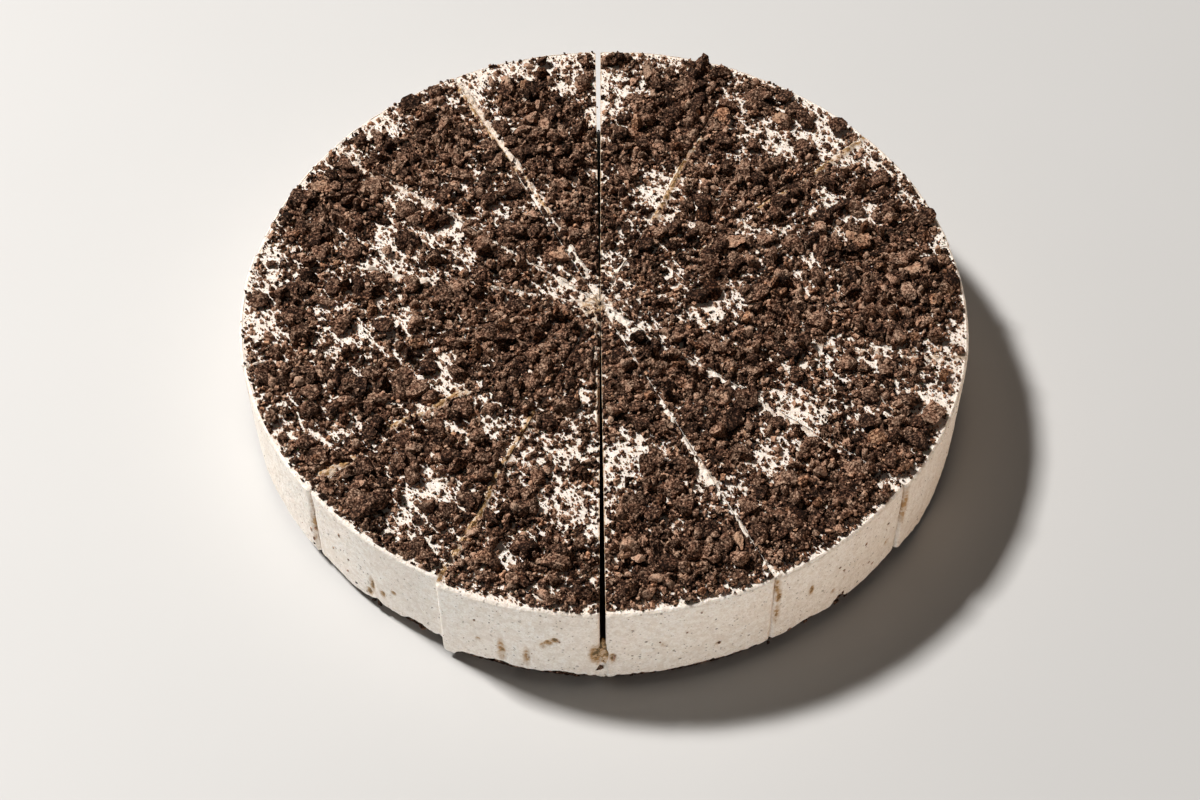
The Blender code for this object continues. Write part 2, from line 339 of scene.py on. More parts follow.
# The colours of a baked cookie crumb, from its darkest crust to its paler broken inside; the darkest also
# serve as painted shade in the crumbs' crevices
CRUMB_TONES = (
    (0.00, (0.0098, 0.0042, 0.0022, 1.0)),
    (0.28, (0.050, 0.0234, 0.0132, 1.0)),
    (0.52, (0.131, 0.0710, 0.0448, 1.0)),
    (0.76, (0.248, 0.150, 0.101, 1.0)),
    (1.00, (0.475, 0.320, 0.228, 1.0)),
)

CRUMB_MEAN = 1.26  # what the values that shade the crumbs add up to on average
CRUMB_TONE = 0.72  # where that average lies among the tones
CRUMB_SPREAD = 1.6
WARM_CRUMB = (1.13, 1.0, 0.87, 1.0)  # what the tones of the better baked crumbs are multiplied by
RED_CRUMB = (1.08, 0.97, 0.93, 1.0)  # and the same for the redder patches


def grains(tree, where, size):
    """Grains of a size in millimetres: how far each place is up its grain, and a random number a grain."""
    cell = add(tree, "ShaderNodeTexVoronoi", {"Vector": where, "Scale": 1 / size})
    up = eased(tree, cell.outputs["Distance"], 0.75, 0.05)
    return up, own_numbers(tree, cell)[0]


def cookie_finish():
    """Dark cocoa cookie: matt and gritty, with a tone for each grain and one for each crumb, and painted
    shade in the crevices between grains.
    """
    material, tree, shader, here = new_material("cookie_crumb_grit", 0.85)
    tone = add(tree, "ShaderNodeAttribute", attribute_name="tone").outputs["Fac"]
    grit = noise_at(tree, here, 0.5, 3.0, 0.7)
    patch = noise_at(tree, here, 3.4, 2.0)
    coarse_up, coarse_own = grains(tree, here, 1.15)
    fine_up, fine_own = grains(tree, here, 0.60)
    shade = product(tree, tone, 0.70)
    # the grains' heights also lighten their tops and darken the crevices between them: painted shade
    patterns = ((coarse_own, 0.18), (fine_own, 0.50), (grit, 0.95), (coarse_up, 0.16), (fine_up, 0.14))
    for value, share in patterns:
        shade = maths(tree, "MULTIPLY_ADD", value, share, shade)
    off_mean = maths(tree, "SUBTRACT", shade, CRUMB_MEAN)
    spread = maths(tree, "MULTIPLY_ADD", off_mean, CRUMB_SPREAD, CRUMB_TONE)
    ramp = add(tree, "ShaderNodeValToRGB", {"Fac": spread})
    for _ in CRUMB_TONES[2:]:
        ramp.color_ramp.elements.new(0.5)
    for element, (place, colour) in zip(ramp.color_ramp.elements, CRUMB_TONES):
        element.position = place
        element.color = colour
    redder = blended(tree, eased(tree, patch, 0.40, 0.62), ramp.outputs[0], RED_CRUMB, "MULTIPLY")
    warm = add(tree, "ShaderNodeAttribute", attribute_name="warm").outputs["Fac"]
    tree.links.new(blended(tree, warm, redder, WARM_CRUMB, "MULTIPLY"), shader.inputs["Base Color"])
    rough = raised(tree, grit, 0.32, 0.8)
    lumpy = raised(tree, coarse_up, 0.18, 0.8, rough)
    tree.links.new(raised(tree, fine_up, 0.17, 0.8, lumpy), shader.inputs["Normal"])
    shader.inputs["Specular IOR Level"].default_value = 0.12
    return material


cookie = cookie_finish()


def crust_tree():
    """Breaks up the side of a crust into crumbs, each with its own tone, darkened as painted shade under the
    cream.
    """
    tree, sizes = new_tree("pressed crumbs", Grain=1.9, Depth=0.5)
    place = place_in_mm(tree)
    flat = in_plan(tree, place)
    far = add(tree, "ShaderNodeVectorMath", {0: flat}, operation="LENGTH").outputs["Value"]
    at_side = maths(tree, "GREATER_THAN", far, CAKE_RADIUS * CRUST_SIDE)
    scale = maths(tree, "DIVIDE", 1.0, sizes["Grain"])
    crumb = add(tree, "ShaderNodeTexVoronoi", {"Vector": place, "Scale": scale})
    own = own_numbers(tree, crumb)
    sunk = maths(tree, "ADD", crumb.outputs["Distance"], product(tree, own[0], 0.6))
    inward = product(tree, sunk, sizes["Depth"], -MM)
    away = arrow_of(tree, "SCALE", arrow_of(tree, "NORMALIZE", flat), scale=inward)
    broken = moved(tree, sizes["Geometry"], away, at_side)
    # the crust's crumbs are set darker than the loose ones on top: painted shade under the cream's overhang
    tone = maths(tree, "MULTIPLY_ADD", own[1], 0.6, -0.35)
    end_tree(tree, noted(tree, broken, "tone", tone), cookie)
    return tree


pressed_crumbs = crust_tree()
crust_top = CRUST_HEIGHT - PIECE_GAP / 2
crust_levels = np.linspace(crust_top, 0.0, round(crust_top / CRUST_SPACING) + 1)
for wedge in range(WEDGES):
    tip = wedge_tip(wedge)
    crust_rows = [np.array([[tip.x, tip.y, crust_top]])]
    crust_rows += [rim_row(wedge, CRUST_REACH, level, CRUST_SPACING) for level in crust_levels]
    crust_mesh = wedge_mesh("crust", crust_rows, [[tip.x, tip.y, 0.0]])
    crust = worked(f"pressed_crust_{wedge + 1:02d}", crust_mesh, pressed_crumbs)
    placed(crust, "cookie_crumb", f"crust_{wedge + 1:02d}")


# The cream fillings. Off-white cream cheese, set in the tin, with cocoa specks all through it. A knife cut
# it straight down, and left smears over the topping, stained seams and a few bites at the lower edge.
CREAM_HEIGHT = 38.0
CREAM_TOP = CRUST_HEIGHT + CREAM_HEIGHT
CREAM_SPACING = 0.75
RIM_ROUND = 1.4
RIM_STEPS = 5
RIM_WAVES = 0.5  # how far the round edge sinks here and there
RIM_WAVE_SIZE = 4.5
CORNER_ROUND = 0.8  # how far the side's corners are rounded off at the cuts
SMEAR_LIP = 1.3
CREAM_SHARP = 50.0  # edges sharper than this stay sharp, such as those at the cuts
OPEN_CUT_BROWN = 0.8  # how stained the open cut's edges are
SMEAR_BREAKS = 2.4  # the smears are torn by features of this size
HUB_SMEAR = 5.6  # where the cuts meet, cream is smeared this far round
HUB_SMEAR_OFF = (2.8, 0.8)  # how far the middle of that place lies left of the hub and in front of it
HUB_SMEAR_MOST = 0.6
HUB_SMEAR_BROWN = 1.1
SMEAR_SOFT = 0.62  # a smear's strength falls by one over this share of its width

# The smears that the knife dragged along its cuts: two ends, width, how brown
KNIFE_SMEARS = (
    (19, 40, 32, 72, 2.1, 1.4),
    (32, 72, 38, 82, 1.5, 1.2),
    (33, 22, 38, 27, 1.5, 0.9),
    (58, 46, 70, 55, 1.8, 1.1),
    (70, 55, 84, 67, 1.8, 1.1),
    (84, 67, 99, 81, 2.2, 1.2),
    (74, -19, 81, -20, 1.2, 0.8),
    (88, -22, 97, -22, 1.5, 0.5),
    (105, -25, 128, -25, 1.2, 0.6),
    (3, 12, 8, 20, 1.4, 0.1),
    (2, -3, 12, -13, 2.6, 0.1),
    (12, -13, 24, -22, 1.6, 0.1),
    (24, -22, 33, -29, 1.4, 0.1),
    (33, -28, 54, -45, 2.0, 0.1),
    (54, -45, 65, -53, 2.4, 0.2),
    (65, -53, 80, -66, 1.6, 0.4),
    (20, -44, 25, -55, 1.6, 0.1),
    (27, -60, 32, -70, 1.8, 0.1),
    (32, -70, 38, -78, 1.6, 0.3),
    (44, -92, 47, -100, 1.4, 0.2),
    (53, -110, 57, -115, 1.6, 0.2),
    (-24, -48, -37, -76, 1.9, 1.25),
    (-37, -76, -41, -90, 2.0, 1.25),
    (-41, -90, -55, -117, 2.4, 1.3),
    (-52, -38, -47, -40, 1.6, 0.8),
    (-73, -54, -63, -49, 2.6, 1.15),
    (-60, -47, -49, -39, 2.8, 1.05),
    (-95, -74, -85, -68, 3.2, 1.1),
    (-3, -8, -2, -58, 0.9, 0.8),
    (-100, -82, -96, -79, 1.5, 0.6),
    (-127, -28, -120, -26, 1.6, 0.2),
    (-40, 8, -24, 4, 1.6, 0.1),
    (-22, 3, -8, 1, 1.2, 0.5),
    (-17, 12, -6, 4, 2.4, 0.1),
    (-85, 18, -77, 14, 1.6, 0.2),
    (-77, 14, -60, 11, 1.6, 0.2),
    (-100, 76, -86, 62, 2.0, 0.4),
    (-80, 59, -52, 41, 2.0, 0.3),
    (-40, 29, -30, 22, 1.6, 0.3),
    (-30, 22, -12, 10, 1.0, 0.4),
    (-56, 112, -42, 86, 2.4, 0.45),
    (-43, 88, -31, 66, 3.0, 0.3),
    (-57.5, 112, -44.5, 87, 1.5, 1.3),
    (-44.5, 87, -32.5, 65, 1.5, 1.3),
    (-31, 66, -27, 57, 1.6, 1.0),
    (-27, 57, -19, 42, 1.2, 1.0),
    (-27, 59, -19, 45, 1.6, 0.15),
    (-20, 44, -15, 34, 1.2, 0.3),
    (-12, 28, -5, 12, 1.4, 0.25),
)

# Marks on the cream's side: angle, depth under the top, half width, half height, how deep, how brown
SIDE_MARKS = (
    (154.0, 5.0, 1.1, 5.0, 0.3, 1.2),
    (153.6, 12.0, 1.0, 4.0, 0.4, 1.45),
    (153.7, 22.0, 1.0, 6.0, 0.3, 1.2),
    (127.9, 12.0, 1.2, 12.0, 0.2, 0.9),
    (181.2, 24.5, 2.4, 5.5, 0.6, 1.6),
    (178.9, 27.0, 1.1, 3.0, 0.8, 1.3),
    (187.3, 17.3, 1.6, 1.5, 0.9, 1.6),
    (188.3, 19.0, 1.4, 1.6, 0.9, 1.5),
    (189.1, 21.2, 1.0, 1.8, 0.6, 1.3),
    (191.6, 30.0, 1.1, 5.5, 0.9, 1.0),
    (194.0, 28.0, 1.8, 5.0, 0.9, 0.0),
    (195.4, 28.5, 1.3, 6.5, 0.9, 1.15),
    (199.0, 25.5, 1.0, 1.0, 0.5, 1.0),
    (214.1, 25.0, 1.1, 1.2, 0.5, 1.2),
    (216.4, 30.0, 1.2, 2.2, 0.6, 1.2),
    (218.4, 28.5, 1.0, 4.5, 0.6, 1.5),
    (219.3, 34.5, 1.3, 2.2, 0.7, 1.5),
    (230.9, 9.0, 1.1, 6.0, 0.4, 0.7),
    (231.3, 21.0, 1.4, 8.0, 0.5, 0.85),
    (231.5, 31.0, 1.1, 5.0, 0.4, 0.7),
    (147.6, 18.5, 1.0, 2.6, 0.4, 1.5),
    (131.1, 26.5, 1.3, 1.1, 0.4, 0.9),
    (143.0, 29.0, 1.0, 1.3, 0.4, 0.8),
    (140.8, 25.0, 0.9, 1.0, 0.3, 0.6),
    (163.0, 27.5, 1.0, 0.9, 0.4, 0.8),
    (171.5, 21.0, 1.0, 1.4, 0.3, 0.5),
    (241.0, 16.0, 0.9, 1.0, 0.4, 0.6),
)

# Bites out of the cream's lower edge: angle, half width, height
FOOT_BITES = (
    (141.5, 3.4, 4.2),
    (148.0, 6.0, 1.8),
    (181.0, 2.6, 2.6),
    (186.5, 4.0, 1.6),
    (196.0, 5.0, 2.2),
    (210.5, 5.5, 3.0),
    (217.6, 2.6, 2.0),
    (187.5, 2.0, 1.2),
)

# Where it hangs down over the crust instead: angle, half width, depth
FOOT_SAGS = (
    (119.5, 15.0, 3.6),
    (180.5, 4.0, 2.2),
    (203.8, 4.0, 3.2),
    (223.0, 9.0, 1.5),
    (140.0, 20.0, 0.8),
    (253.0, 18.0, 3.0),
    (311.0, 22.0, 2.4),
    (38.0, 26.0, 2.8),
    (84.0, 12.0, 2.2),
)


def inward_distance(face, side, x, y):
    """How far inside a cut face plan points lie."""
    point, along = face
    return ((x - point.x) * along.y - (y - point.y) * along.x) * side


def smear_share(x, y):
    """How strongly smeared cream covers places on the top, and how brown it is there."""
    torn = np.array([noise.noise(Vector((*place, 0.0)) / SMEAR_BREAKS) for place in zip(x, y)])
    off = np.hypot(x - HUB.x + HUB_SMEAR_OFF[0], y - HUB.y + HUB_SMEAR_OFF[1])
    share = np.clip(1.2 - off / HUB_SMEAR - torn, 0.0, HUB_SMEAR_MOST)
    brown = share * HUB_SMEAR_BROWN
    torn = np.clip(torn * 1.7, 0.0, 0.75)
    for start_x, start_y, end_x, end_y, width, tan in KNIFE_SMEARS:
        run = np.array((end_x - start_x, end_y - start_y), float)
        along = ((x - start_x) * run[0] + (y - start_y) * run[1]) / run.dot(run)
        along = np.clip(along, 0.0, 1.0)
        off = np.hypot(x - start_x - along * run[0], y - start_y - along * run[1])
        strength = np.clip(1.3 - off / (width * SMEAR_SOFT) - torn, 0.0, 1.0)
        brown = np.where(strength > share, strength * tan, brown)
        share = np.maximum(share, strength)
    return share, brown


def side_marks(points):
    """How deep the marks on the side go at points there, and how brown they are."""
    angle = np.degrees(np.arctan2(points[:, 0], points[:, 1])) % 360.0
    dent, brown = np.zeros(len(points)), np.zeros(len(points))
    for middle, under, half_width, half_height, deep, tan in SIDE_MARKS:
        off_x = np.radians(angle - middle) * CAKE_RADIUS / half_width
        off_z = (CREAM_TOP - under - points[:, 2]) / half_height
        strength = np.clip(1.35 - np.hypot(off_x, off_z), 0.0, 1.0)
        dent = np.maximum(dent, strength * deep)
        brown = np.maximum(brown, strength * tan)
    return dent, brown


def foot_lift(points):
    """How far the ragged lower edge of the cream stands up at points round its rim."""
    angle = np.degrees(np.arctan2(points[:, 0], points[:, 1])) % 360.0
    waves = [noise.noise(Vector((x, y, 0.0)) * 0.22) + noise.noise(Vector((x, y, 9.0)) * 0.7)
             for x, y in points[:, :2]]
    lift = np.clip(0.4 + 0.8 * np.array(waves), 0.0, None)
    for middle, half_width, height in FOOT_BITES:
        off = (angle - middle) * math.radians(CAKE_RADIUS) / half_width
        lift = np.maximum(lift, height * np.clip(1.2 - np.abs(off), 0.0, 1.0) * (0.8 + 0.4 * lift))
    for middle, half_width, depth in FOOT_SAGS:
        off = (angle - middle) * math.radians(CAKE_RADIUS) / half_width
        lift -= depth * np.clip(1.3 - np.abs(off), 0.0, 1.0)
    return lift


def set_values(mesh, name, values, kind="FLOAT"):
    """Gives each point of a mesh a value of its own."""
    field = "vector" if kind == "FLOAT_VECTOR" else "value"
    mesh.attributes.new(name, kind, "POINT").data.foreach_set(field, np.ravel(values))


# The cream's colours: where it is whole, where it is dull, and where crumbs and the knife have stained it
CREAM_TONE = (0.925, 0.840, 0.760, 1.0)
PALER_CREAM = (0.950, 0.890, 0.820, 1.0)
DULL_CREAM = (0.69, 0.58, 0.475, 1.0)
COCOA_SPECK = (0.20, 0.14, 0.095, 1.0)
STAIN = (0.42, 0.235, 0.088, 1.0)
DEEPEST_STAIN = (0.13, 0.085, 0.035, 1.0)

DULL_SIZES = (0.75, 2.6)
DULL_SHARE = 0.40

# The cocoa specks: how far apart, how rare, how large the largest are for that distance, and how dark
COCOA_SPECKS = (
    (1.3, 0.50, 0.28, 0.75),
    (2.3, 0.35, 0.22, 0.75),
    (4.6, 0.55, 0.15, 0.85),
)


def cream_finish():
    """Off-white, a little translucent, with fine pores, cocoa specks and brown stains."""
    material, tree, shader, here = new_material("cream_cheese", 0.52)
    broad = noise_at(tree, here, 24.0, 3.0)
    shown = blended(tree, eased(tree, broad, 0.35, 0.65), CREAM_TONE, PALER_CREAM)
    for size in DULL_SIZES:
        dull = eased(tree, noise_at(tree, here, size, 2.0, 0.7), 0.56, 0.40, 0.0, DULL_SHARE)
        shown = blended(tree, dull, shown, DULL_CREAM)
    spots = []
    crowd = eased(tree, noise_at(tree, here, 6.0, 2.0), 0.38, 0.60, 0.35, 1.0)
    for size, rare, largest, dark in COCOA_SPECKS:
        speck = add(tree, "ShaderNodeTexVoronoi", {"Vector": here, "Scale": 1 / size})
        radius = eased(tree, own_numbers(tree, speck)[0], rare, 1.0, 0.0, largest)
        spot = eased(tree, maths(tree, "SUBTRACT", speck.outputs["Distance"], radius), 0.02, -0.06)
        spots.append(spot)
        shown = blended(tree, product(tree, spot, crowd, dark), shown, COCOA_SPECK)
    brown = add(tree, "ShaderNodeAttribute", attribute_name="brown").outputs["Fac"]
    uneven = noise_at(tree, here, 1.8, 3.0, 0.6)
    stain = product(tree, brown, eased(tree, uneven, 0.38, 0.60, 0.50, 1.25))
    stained = blended(tree, stain, shown, STAIN)
    deepest = eased(tree, stain, 0.95, 1.6, 0.0, 0.9)
    tree.links.new(blended(tree, deepest, stained, DEEPEST_STAIN), shader.inputs["Base Color"])
    pores = noise_at(tree, here, 0.45, 3.0, 0.6)
    wavy = raised(tree, noise_at(tree, here, 2.2, 2.0), 0.9, 0.8)
    pitted = raised(tree, maths(tree, "SUBTRACT", 1.0, spots[1]), 0.25, 0.9, wavy)
    tree.links.new(raised(tree, pores, 0.30, 0.8, pitted), shader.inputs["Normal"])
    shader.inputs["Specular IOR Level"].default_value = 0.35
    shader.inputs["Subsurface Weight"].default_value = 0.12
    shader.inputs["Subsurface Radius"].default_value = (1.0, 0.75, 0.5)
    shader.inputs["Subsurface Scale"].default_value = 1.5 * MM
    return material


cream = cream_finish()


def cream_tree():
    """Gives the cream its slightly uneven skin, and lifts the smears into soft lips."""
    tree, sizes = new_tree("cream skin", Waviness=0.45, Grain=0.26, Lip=SMEAR_LIP)
    place = place_in_mm(tree)
    wave = product(tree, noise_at(tree, place, 9.0), sizes["Waviness"])
    grain = product(tree, noise_at(tree, place, 1.7, 3.0), sizes["Grain"])
    sunk = product(tree, maths(tree, "ADD", wave, grain), -MM)
    outward = arrow_of(tree, "NORMALIZE", in_plan(tree, place))
    feeds = {"Factor": stored(tree, "side"), 4: (0.0, 0.0, 1.0), 5: outward}
    facing = add(tree, "ShaderNodeMix", feeds, data_type="VECTOR").outputs[1]
    uneven = eased(tree, noise_at(tree, place, 1.4, 2.0), 0.25, 0.75, 0.35, 1.25)
    lip = product(tree, stored(tree, "smear"), uneven, sizes["Lip"], MM)
    up = add(tree, "ShaderNodeCombineXYZ", {"Z": lip}).outputs[0]
    offset = arrow_of(tree, "ADD", arrow_of(tree, "SCALE", facing, scale=sunk), up)
    end_tree(tree, moved(tree, sizes["Geometry"], offset), cream)
    return tree


def top_rows(wedge, radius, height, spacing, inset=0.0):
    """Rows of points over a wedge's top, from its tip out to a radius, all about evenly spaced."""
    tip = wedge_tip(wedge, inset)
    steps = round(radius / spacing)
    rows = [np.array([[tip.x, tip.y, height]])]
    for step in range(1, steps + 1):
        rows.append(rim_row(wedge, radius, height, spacing, step / steps, inset))
    return rows


def side_rows(wedge):
    """Rows of points over a wedge's rounded edge, down its side, and in under it to its crust."""
    rows = []
    for step in range(1, RIM_STEPS + 1):
        turn = math.pi / 2 * step / RIM_STEPS
        radius = CAKE_RADIUS - RIM_ROUND * (1 - math.sin(turn))
        row = rim_row(wedge, radius, CREAM_TOP - RIM_ROUND * (1 - math.cos(turn)), CREAM_SPACING)
        sunk = [0.4 + noise.noise(Vector((x, y, 5.0)) / RIM_WAVE_SIZE) for x, y in row[:, :2]]
        row[:, 2] -= RIM_WAVES * np.clip(sunk, 0.0, 1.0) * math.sin(2 * turn)
        rows.append(row)
    foot = CRUST_HEIGHT + PIECE_GAP / 2
    shoulder = CREAM_TOP - RIM_ROUND
    steps = round((shoulder - foot) / CREAM_SPACING)
    for step in range(1, steps + 1):
        share = step / steps
        level = shoulder + (foot - shoulder) * share
        row = rim_row(wedge, CAKE_RADIUS, level, CREAM_SPACING)
        row[:, 2] += foot_lift(row) * share ** 5
        rows.append(row)
    rows.append(rim_row(wedge, CAKE_RADIUS - CRUST_RECESS, foot, CREAM_SPACING))
    return rows


cream_skin = cream_tree()
for wedge in range(WEDGES):
    on_top = top_rows(wedge, CAKE_RADIUS - RIM_ROUND, CREAM_TOP, CREAM_SPACING)
    round_side = side_rows(wedge)
    top_points, side_points = np.vstack(on_top), np.vstack(round_side)
    dent, side_brown = side_marks(side_points)
    for face, side in zip(wedge_faces(wedge), (1, -1)):
        inside = inward_distance(face, side, side_points[:, 0], side_points[:, 1])
        dent = np.maximum(dent, CORNER_ROUND * np.clip(1.0 - inside / CORNER_ROUND, 0.0, 1.0))
    away = side_points[:, :2] / np.hypot(side_points[:, 0], side_points[:, 1])[:, None]
    counts = np.cumsum([len(row) for row in round_side])[:-1]
    dented = side_points.copy()
    dented[:, :2] -= away * dent[:, None]
    tip = wedge_tip(wedge)
    foot = [[tip.x, tip.y, CRUST_HEIGHT + PIECE_GAP / 2]]
    mesh = wedge_mesh("cream", on_top + np.split(dented, counts), foot)
    smear, top_brown = smear_share(top_points[:, 0], top_points[:, 1])
    for cut, face, side in zip((wedge, wedge + 1), wedge_faces(wedge), (1, -1)):
        at_edge = inward_distance(face, side, top_points[:, 0], top_points[:, 1]) < CREAM_SPACING / 3
        if cut % len(CUT_LINES) == 0:
            top_brown[at_edge] = OPEN_CUT_BROWN
    set_values(mesh, "smear", np.concatenate((smear, np.zeros(len(side_points) + 1))))
    set_values(mesh, "brown", np.concatenate((top_brown, side_brown, [0.0])))
    set_values(mesh, "side", np.concatenate((np.zeros(len(top_points)), np.ones(len(side_points)), [0.0])))
    filling = worked(f"cream_filling_{wedge + 1:02d}", mesh, cream_skin)
    filling.data.set_sharp_from_angle(angle=math.radians(CREAM_SHARP))
    placed(filling, "cream", f"filling_{wedge + 1:02d}")


# The crumb bed. Crushed cookies were strewn over the cream and pressed on, so that the crumbs lie packed
# against each other, sunk a little in it, thinner at the cuts and the rim and missing in the bare places.
BED_SPACING = 0.78
BED_INSET = 0.12
BED_SUNK = 0.8
BED_RIM = 1.2
BED_SURE = 7.5  # no place counts as further than this from a bare one
BRIDGED = 1.3  # crumbs may lie over a shut cut by this much
ROOM_SPARE = 0.3
COVER_RAGGED = 14.0  # how far the bounds of the bare places are frayed
COVER_GAPS = 11.0  # and how freely small gaps open where the crumbs lie thinly
RIM_STEEP = 1.2
SMEAR_STEEP = 14.0
THIN_BASE = 0.40
BARE_MORE = 0.4  # the bare places reach this much further than the circles below

# The bounds of the bare places wander, by features of one size and by up to about one distance. Blender's
# vector noise is started by the clock, so that just where they run differs a little from run to run
WANDER_SIZE = 6.5
WANDER = 5.0

# How wide the bare cream is at each wedge's rim; less than nought is covered right out
RIM_CLEARS = (1.3, 1.3, 1.3, 1.3, 1.5, 2.1, 2.1, 1.8, -0.6, 0.3, 0.8, 1.2, 1.3, 1.3)

# The larger places that the topping leaves bare: x, y, radius
BARE_PATCHES = (
    (-12, 124, 6),
    (29, 126, 6),
    (5, 112, 6),
    (52, 100, 6),
    (83, 88, 11),
    (101, 71, 7),
    (22, 59, 6),
    (15, 43, 4),
    (116, 49, 4),
    (47, 3, 5),
    (122, -26, 6),
    (113, -43, 6),
    (68, -49, 7),
    (56, -68, 6),
    (9, -67, 6),
    (-13, -65, 5.5),
    (-13, -85, 5.5),
    (-38, -54, 4),
    (-57, -78, 6),
    (-67, -92, 7),
    (-108, -57, 4),
    (-122, -10, 7),
    (-124, 11, 6),
    (-97, 74, 6),
    (-84, 90, 8),
    (-48, 115, 8),
)

# The smaller bare places: x, y, width, depth
BARE_SPOTS = (
    (-25, 120, 30, 9), (-50, 107, 9, 18), (-58, 102, 8, 5), (-37, 93, 6, 8), (-4, 94, 9, 7),
    (-15, 110, 7, 12), (-47, 78, 4, 5), (-46, 63, 7, 5), (-77, 51, 6, 6), (-70, 50, 8, 6), (-80, 32, 8, 10),
    (-73, 22, 10, 6), (-68, 33, 8, 8), (-57, 34, 12, 6), (-50, 22, 5, 6), (-40, 44, 4, 3),
    (-25, 52, 6, 14), (-82, 17, 12, 6), (-70, 13, 14, 5), (-100, 6, 6, 12), (-122, 25, 8, 10),
    (-112, 60, 6, 8), (-90, 2, 10, 4), (-13, 8, 12, 5), (4, 17, 4, 10), (-5, 63, 8, 3),
    (12, 107, 9, 4), (5, 94, 8, 10), (3, 81, 6, 4), (54, 114, 6, 8), (52, 90, 8, 6),
    (62, 86, 5, 8), (68, 82, 4, 4), (67, 78, 14, 3.5), (66, 73, 4, 4), (73, 101, 8, 5),
    (68, 95, 4, 6), (85, 74, 10, 8), (93, 70, 8, 8), (111, 60, 5, 6), (121, 31, 8, 6),
    (97, 43, 8, 7), (83, 51, 7, 7), (77, 45, 4, 6), (88, 41, 6, 3), (88, 34, 5, 8),
    (14, 50, 6, 10), (24, 42, 6, 5), (32, 38, 6, 4), (28, 52, 4, 6), (37, 47, 5, 4),
    (44, 49, 4, 4), (54, 36, 6, 5), (69, 34, 8, 3), (5, 26, 7, 9), (11, 9, 6, 3),
    (27, 14, 3, 6), (23, 26, 5, 5), (38, 0, 9, 6), (76, 20, 8, 5), (75, 8, 5, 3),
    (68, 13, 4, 4), (78, 13, 3, 4), (55, 20, 3, 5), (49, 72, 6, 4), (80, -5, 4, 9),
    (12, -12, 6, 6), (37, -6, 5, 4), (66, -31, 5, 8), (78, -32, 3, 7), (81, -22, 4, 5),
    (95, -22, 8, 3), (92, -28, 4, 4), (63, -40, 5, 6), (116, -57, 9, 8), (126, -33, 4, 6),
    (124, -16, 8, 8), (129, -5, 2, 8), (3, -72, 5, 8), (11, -58, 4, 6), (20, -66, 5, 5),
    (30, -76, 5, 10), (38, -86, 5, 4), (2, -85, 3, 9), (22, -93, 8, 3), (44, -84, 3, 6),
    (15, -126, 8, 5), (50, -116, 9, 5), (98, -76, 8, 5), (92, -48, 4, 4), (-5, -95, 7, 8),
    (-28, -70, 4, 5), (-36, -82, 4, 6), (-34, -105, 5, 6), (-10, -115, 10, 4), (-18, -121, 9, 6),
    (-54, -105, 6, 10), (-42, -42, 3, 12), (-51, -53, 8, 5), (-56, -32, 6, 18), (-62, -33, 6, 10),
    (-83, -34, 7, 6), (-75, -26, 4, 5), (-65, -46, 8, 6), (-90, -17, 11, 7), (-73, -8, 11, 7),
    (-99, -1, 6, 5), (-97, -58, 10, 5), (-83, -57, 6, 6), (-110, -44, 5, 4), (-96, -43, 5, 5),
    (-9, -45, 5, 10), (-3, 1, 12, 10), (123, 27, 9, 6),
)

# Where the crumbs lie thinly, so that the cream shows between them, and where thickly, with an amount less
# than nought: x, y, radius, amount
THIN_AREAS = (
    (-28, 120, 15, 0.8), (-8, 108, 12, 0.7), (20, 119, 14, 0.7), (-42, 92, 8, 0.7), (-38, 56, 12, 0.8),
    (-8, 60, 8, 0.5), (20, 53, 13, 0.7), (32, 20, 13, 0.2), (88, 85, 20, 0.8), (107, 68, 12, 0.7),
    (64, 80, 12, 0.8), (83, 50, 10, 0.6), (96, 42, 8, 0.5), (62, 34, 10, 0.4), (78, 24, 12, 0.5),
    (50, 2, 8, 0.4), (86, -22, 13, 0.5), (66, -30, 8, 0.5), (120, -22, 12, 0.8), (113, -46, 12, 0.7),
    (69, -50, 14, 0.7), (55, -66, 10, 0.8), (90, -48, 8, 0.4), (96, -76, 8, 0.4), (44, -84, 7, 0.5),
    (-16, -66, 16, 0.8), (-12, -86, 15, 0.7), (-40, -50, 11, 0.65), (8, -66, 10, 0.45), (5, -84, 7, 0.4),
    (34, -78, 9, 0.4), (25, -92, 9, 0.4), (-30, -102, 12, 0.6), (22, -50, 8, 0.5), (13, -12, 10, 0.55),
    (36, -3, 12, 0.6), (-9, -45, 8, 0.4), (-38, -121, 9, 0.5), (-95, 18, 22, 0.6), (-64, 30, 16, 0.7),
    (-116, 22, 12, 0.7), (-58, 50, 13, 0.6), (-90, 92, 11, 0.8), (-106, -16, 13, 0.6), (-90, -20, 12, 0.45),
    (-68, -28, 12, 0.6), (-85, -57, 14, 0.45), (-62, -80, 14, 0.8), (-58, -34, 10, 0.6), (-110, -55, 10, 0.4),
    (-20, 10, 14, 0.7), (8, 104, 9, 0.6), (-78, -12, 14, 0.4), (45, 108, 10, 0.3), (-30, 15, 14, 0.3),
    (-70, 10, 14, 0.35), (-125, -8, 10, 0.8), (-54, 104, 12, 0.6), (-52, -12, 12, 0.5), (-72, 98, 10, 0.5),
    (-27, 104, 11, -0.6), (-27, 74, 15, -0.5), (26, 97, 18, -0.6), (20, 84, 12, -0.4), (-26, 36, 12, -0.4),
    (58, 101, 11, -0.6), (104, 60, 10, -0.4), (70, 60, 14, -0.5), (102, 10, 20, -0.4), (62, 10, 10, -0.4),
    (96, -5, 14, -0.4), (60, -13, 13, -0.4), (102, -60, 11, -0.5), (80, -86, 18, -0.6), (50, -96, 10, -0.4),
    (-30, -10, 17, -0.5), (-36, -34, 9, -0.4), (12, -50, 7, -0.5), (-40, -72, 9, -0.6), (20, -104, 14, -0.5),
    (-20, -112, 9, -0.4), (36, -56, 11, -0.4), (-70, 92, 11, -0.5), (-101, 48, 12, -0.5), (-112, -3, 8, -0.5),
    (-102, -32, 9, -0.5), (-60, -11, 11, -0.4), (-80, -72, 11, -0.5), (-54, -66, 9, -0.5),
)


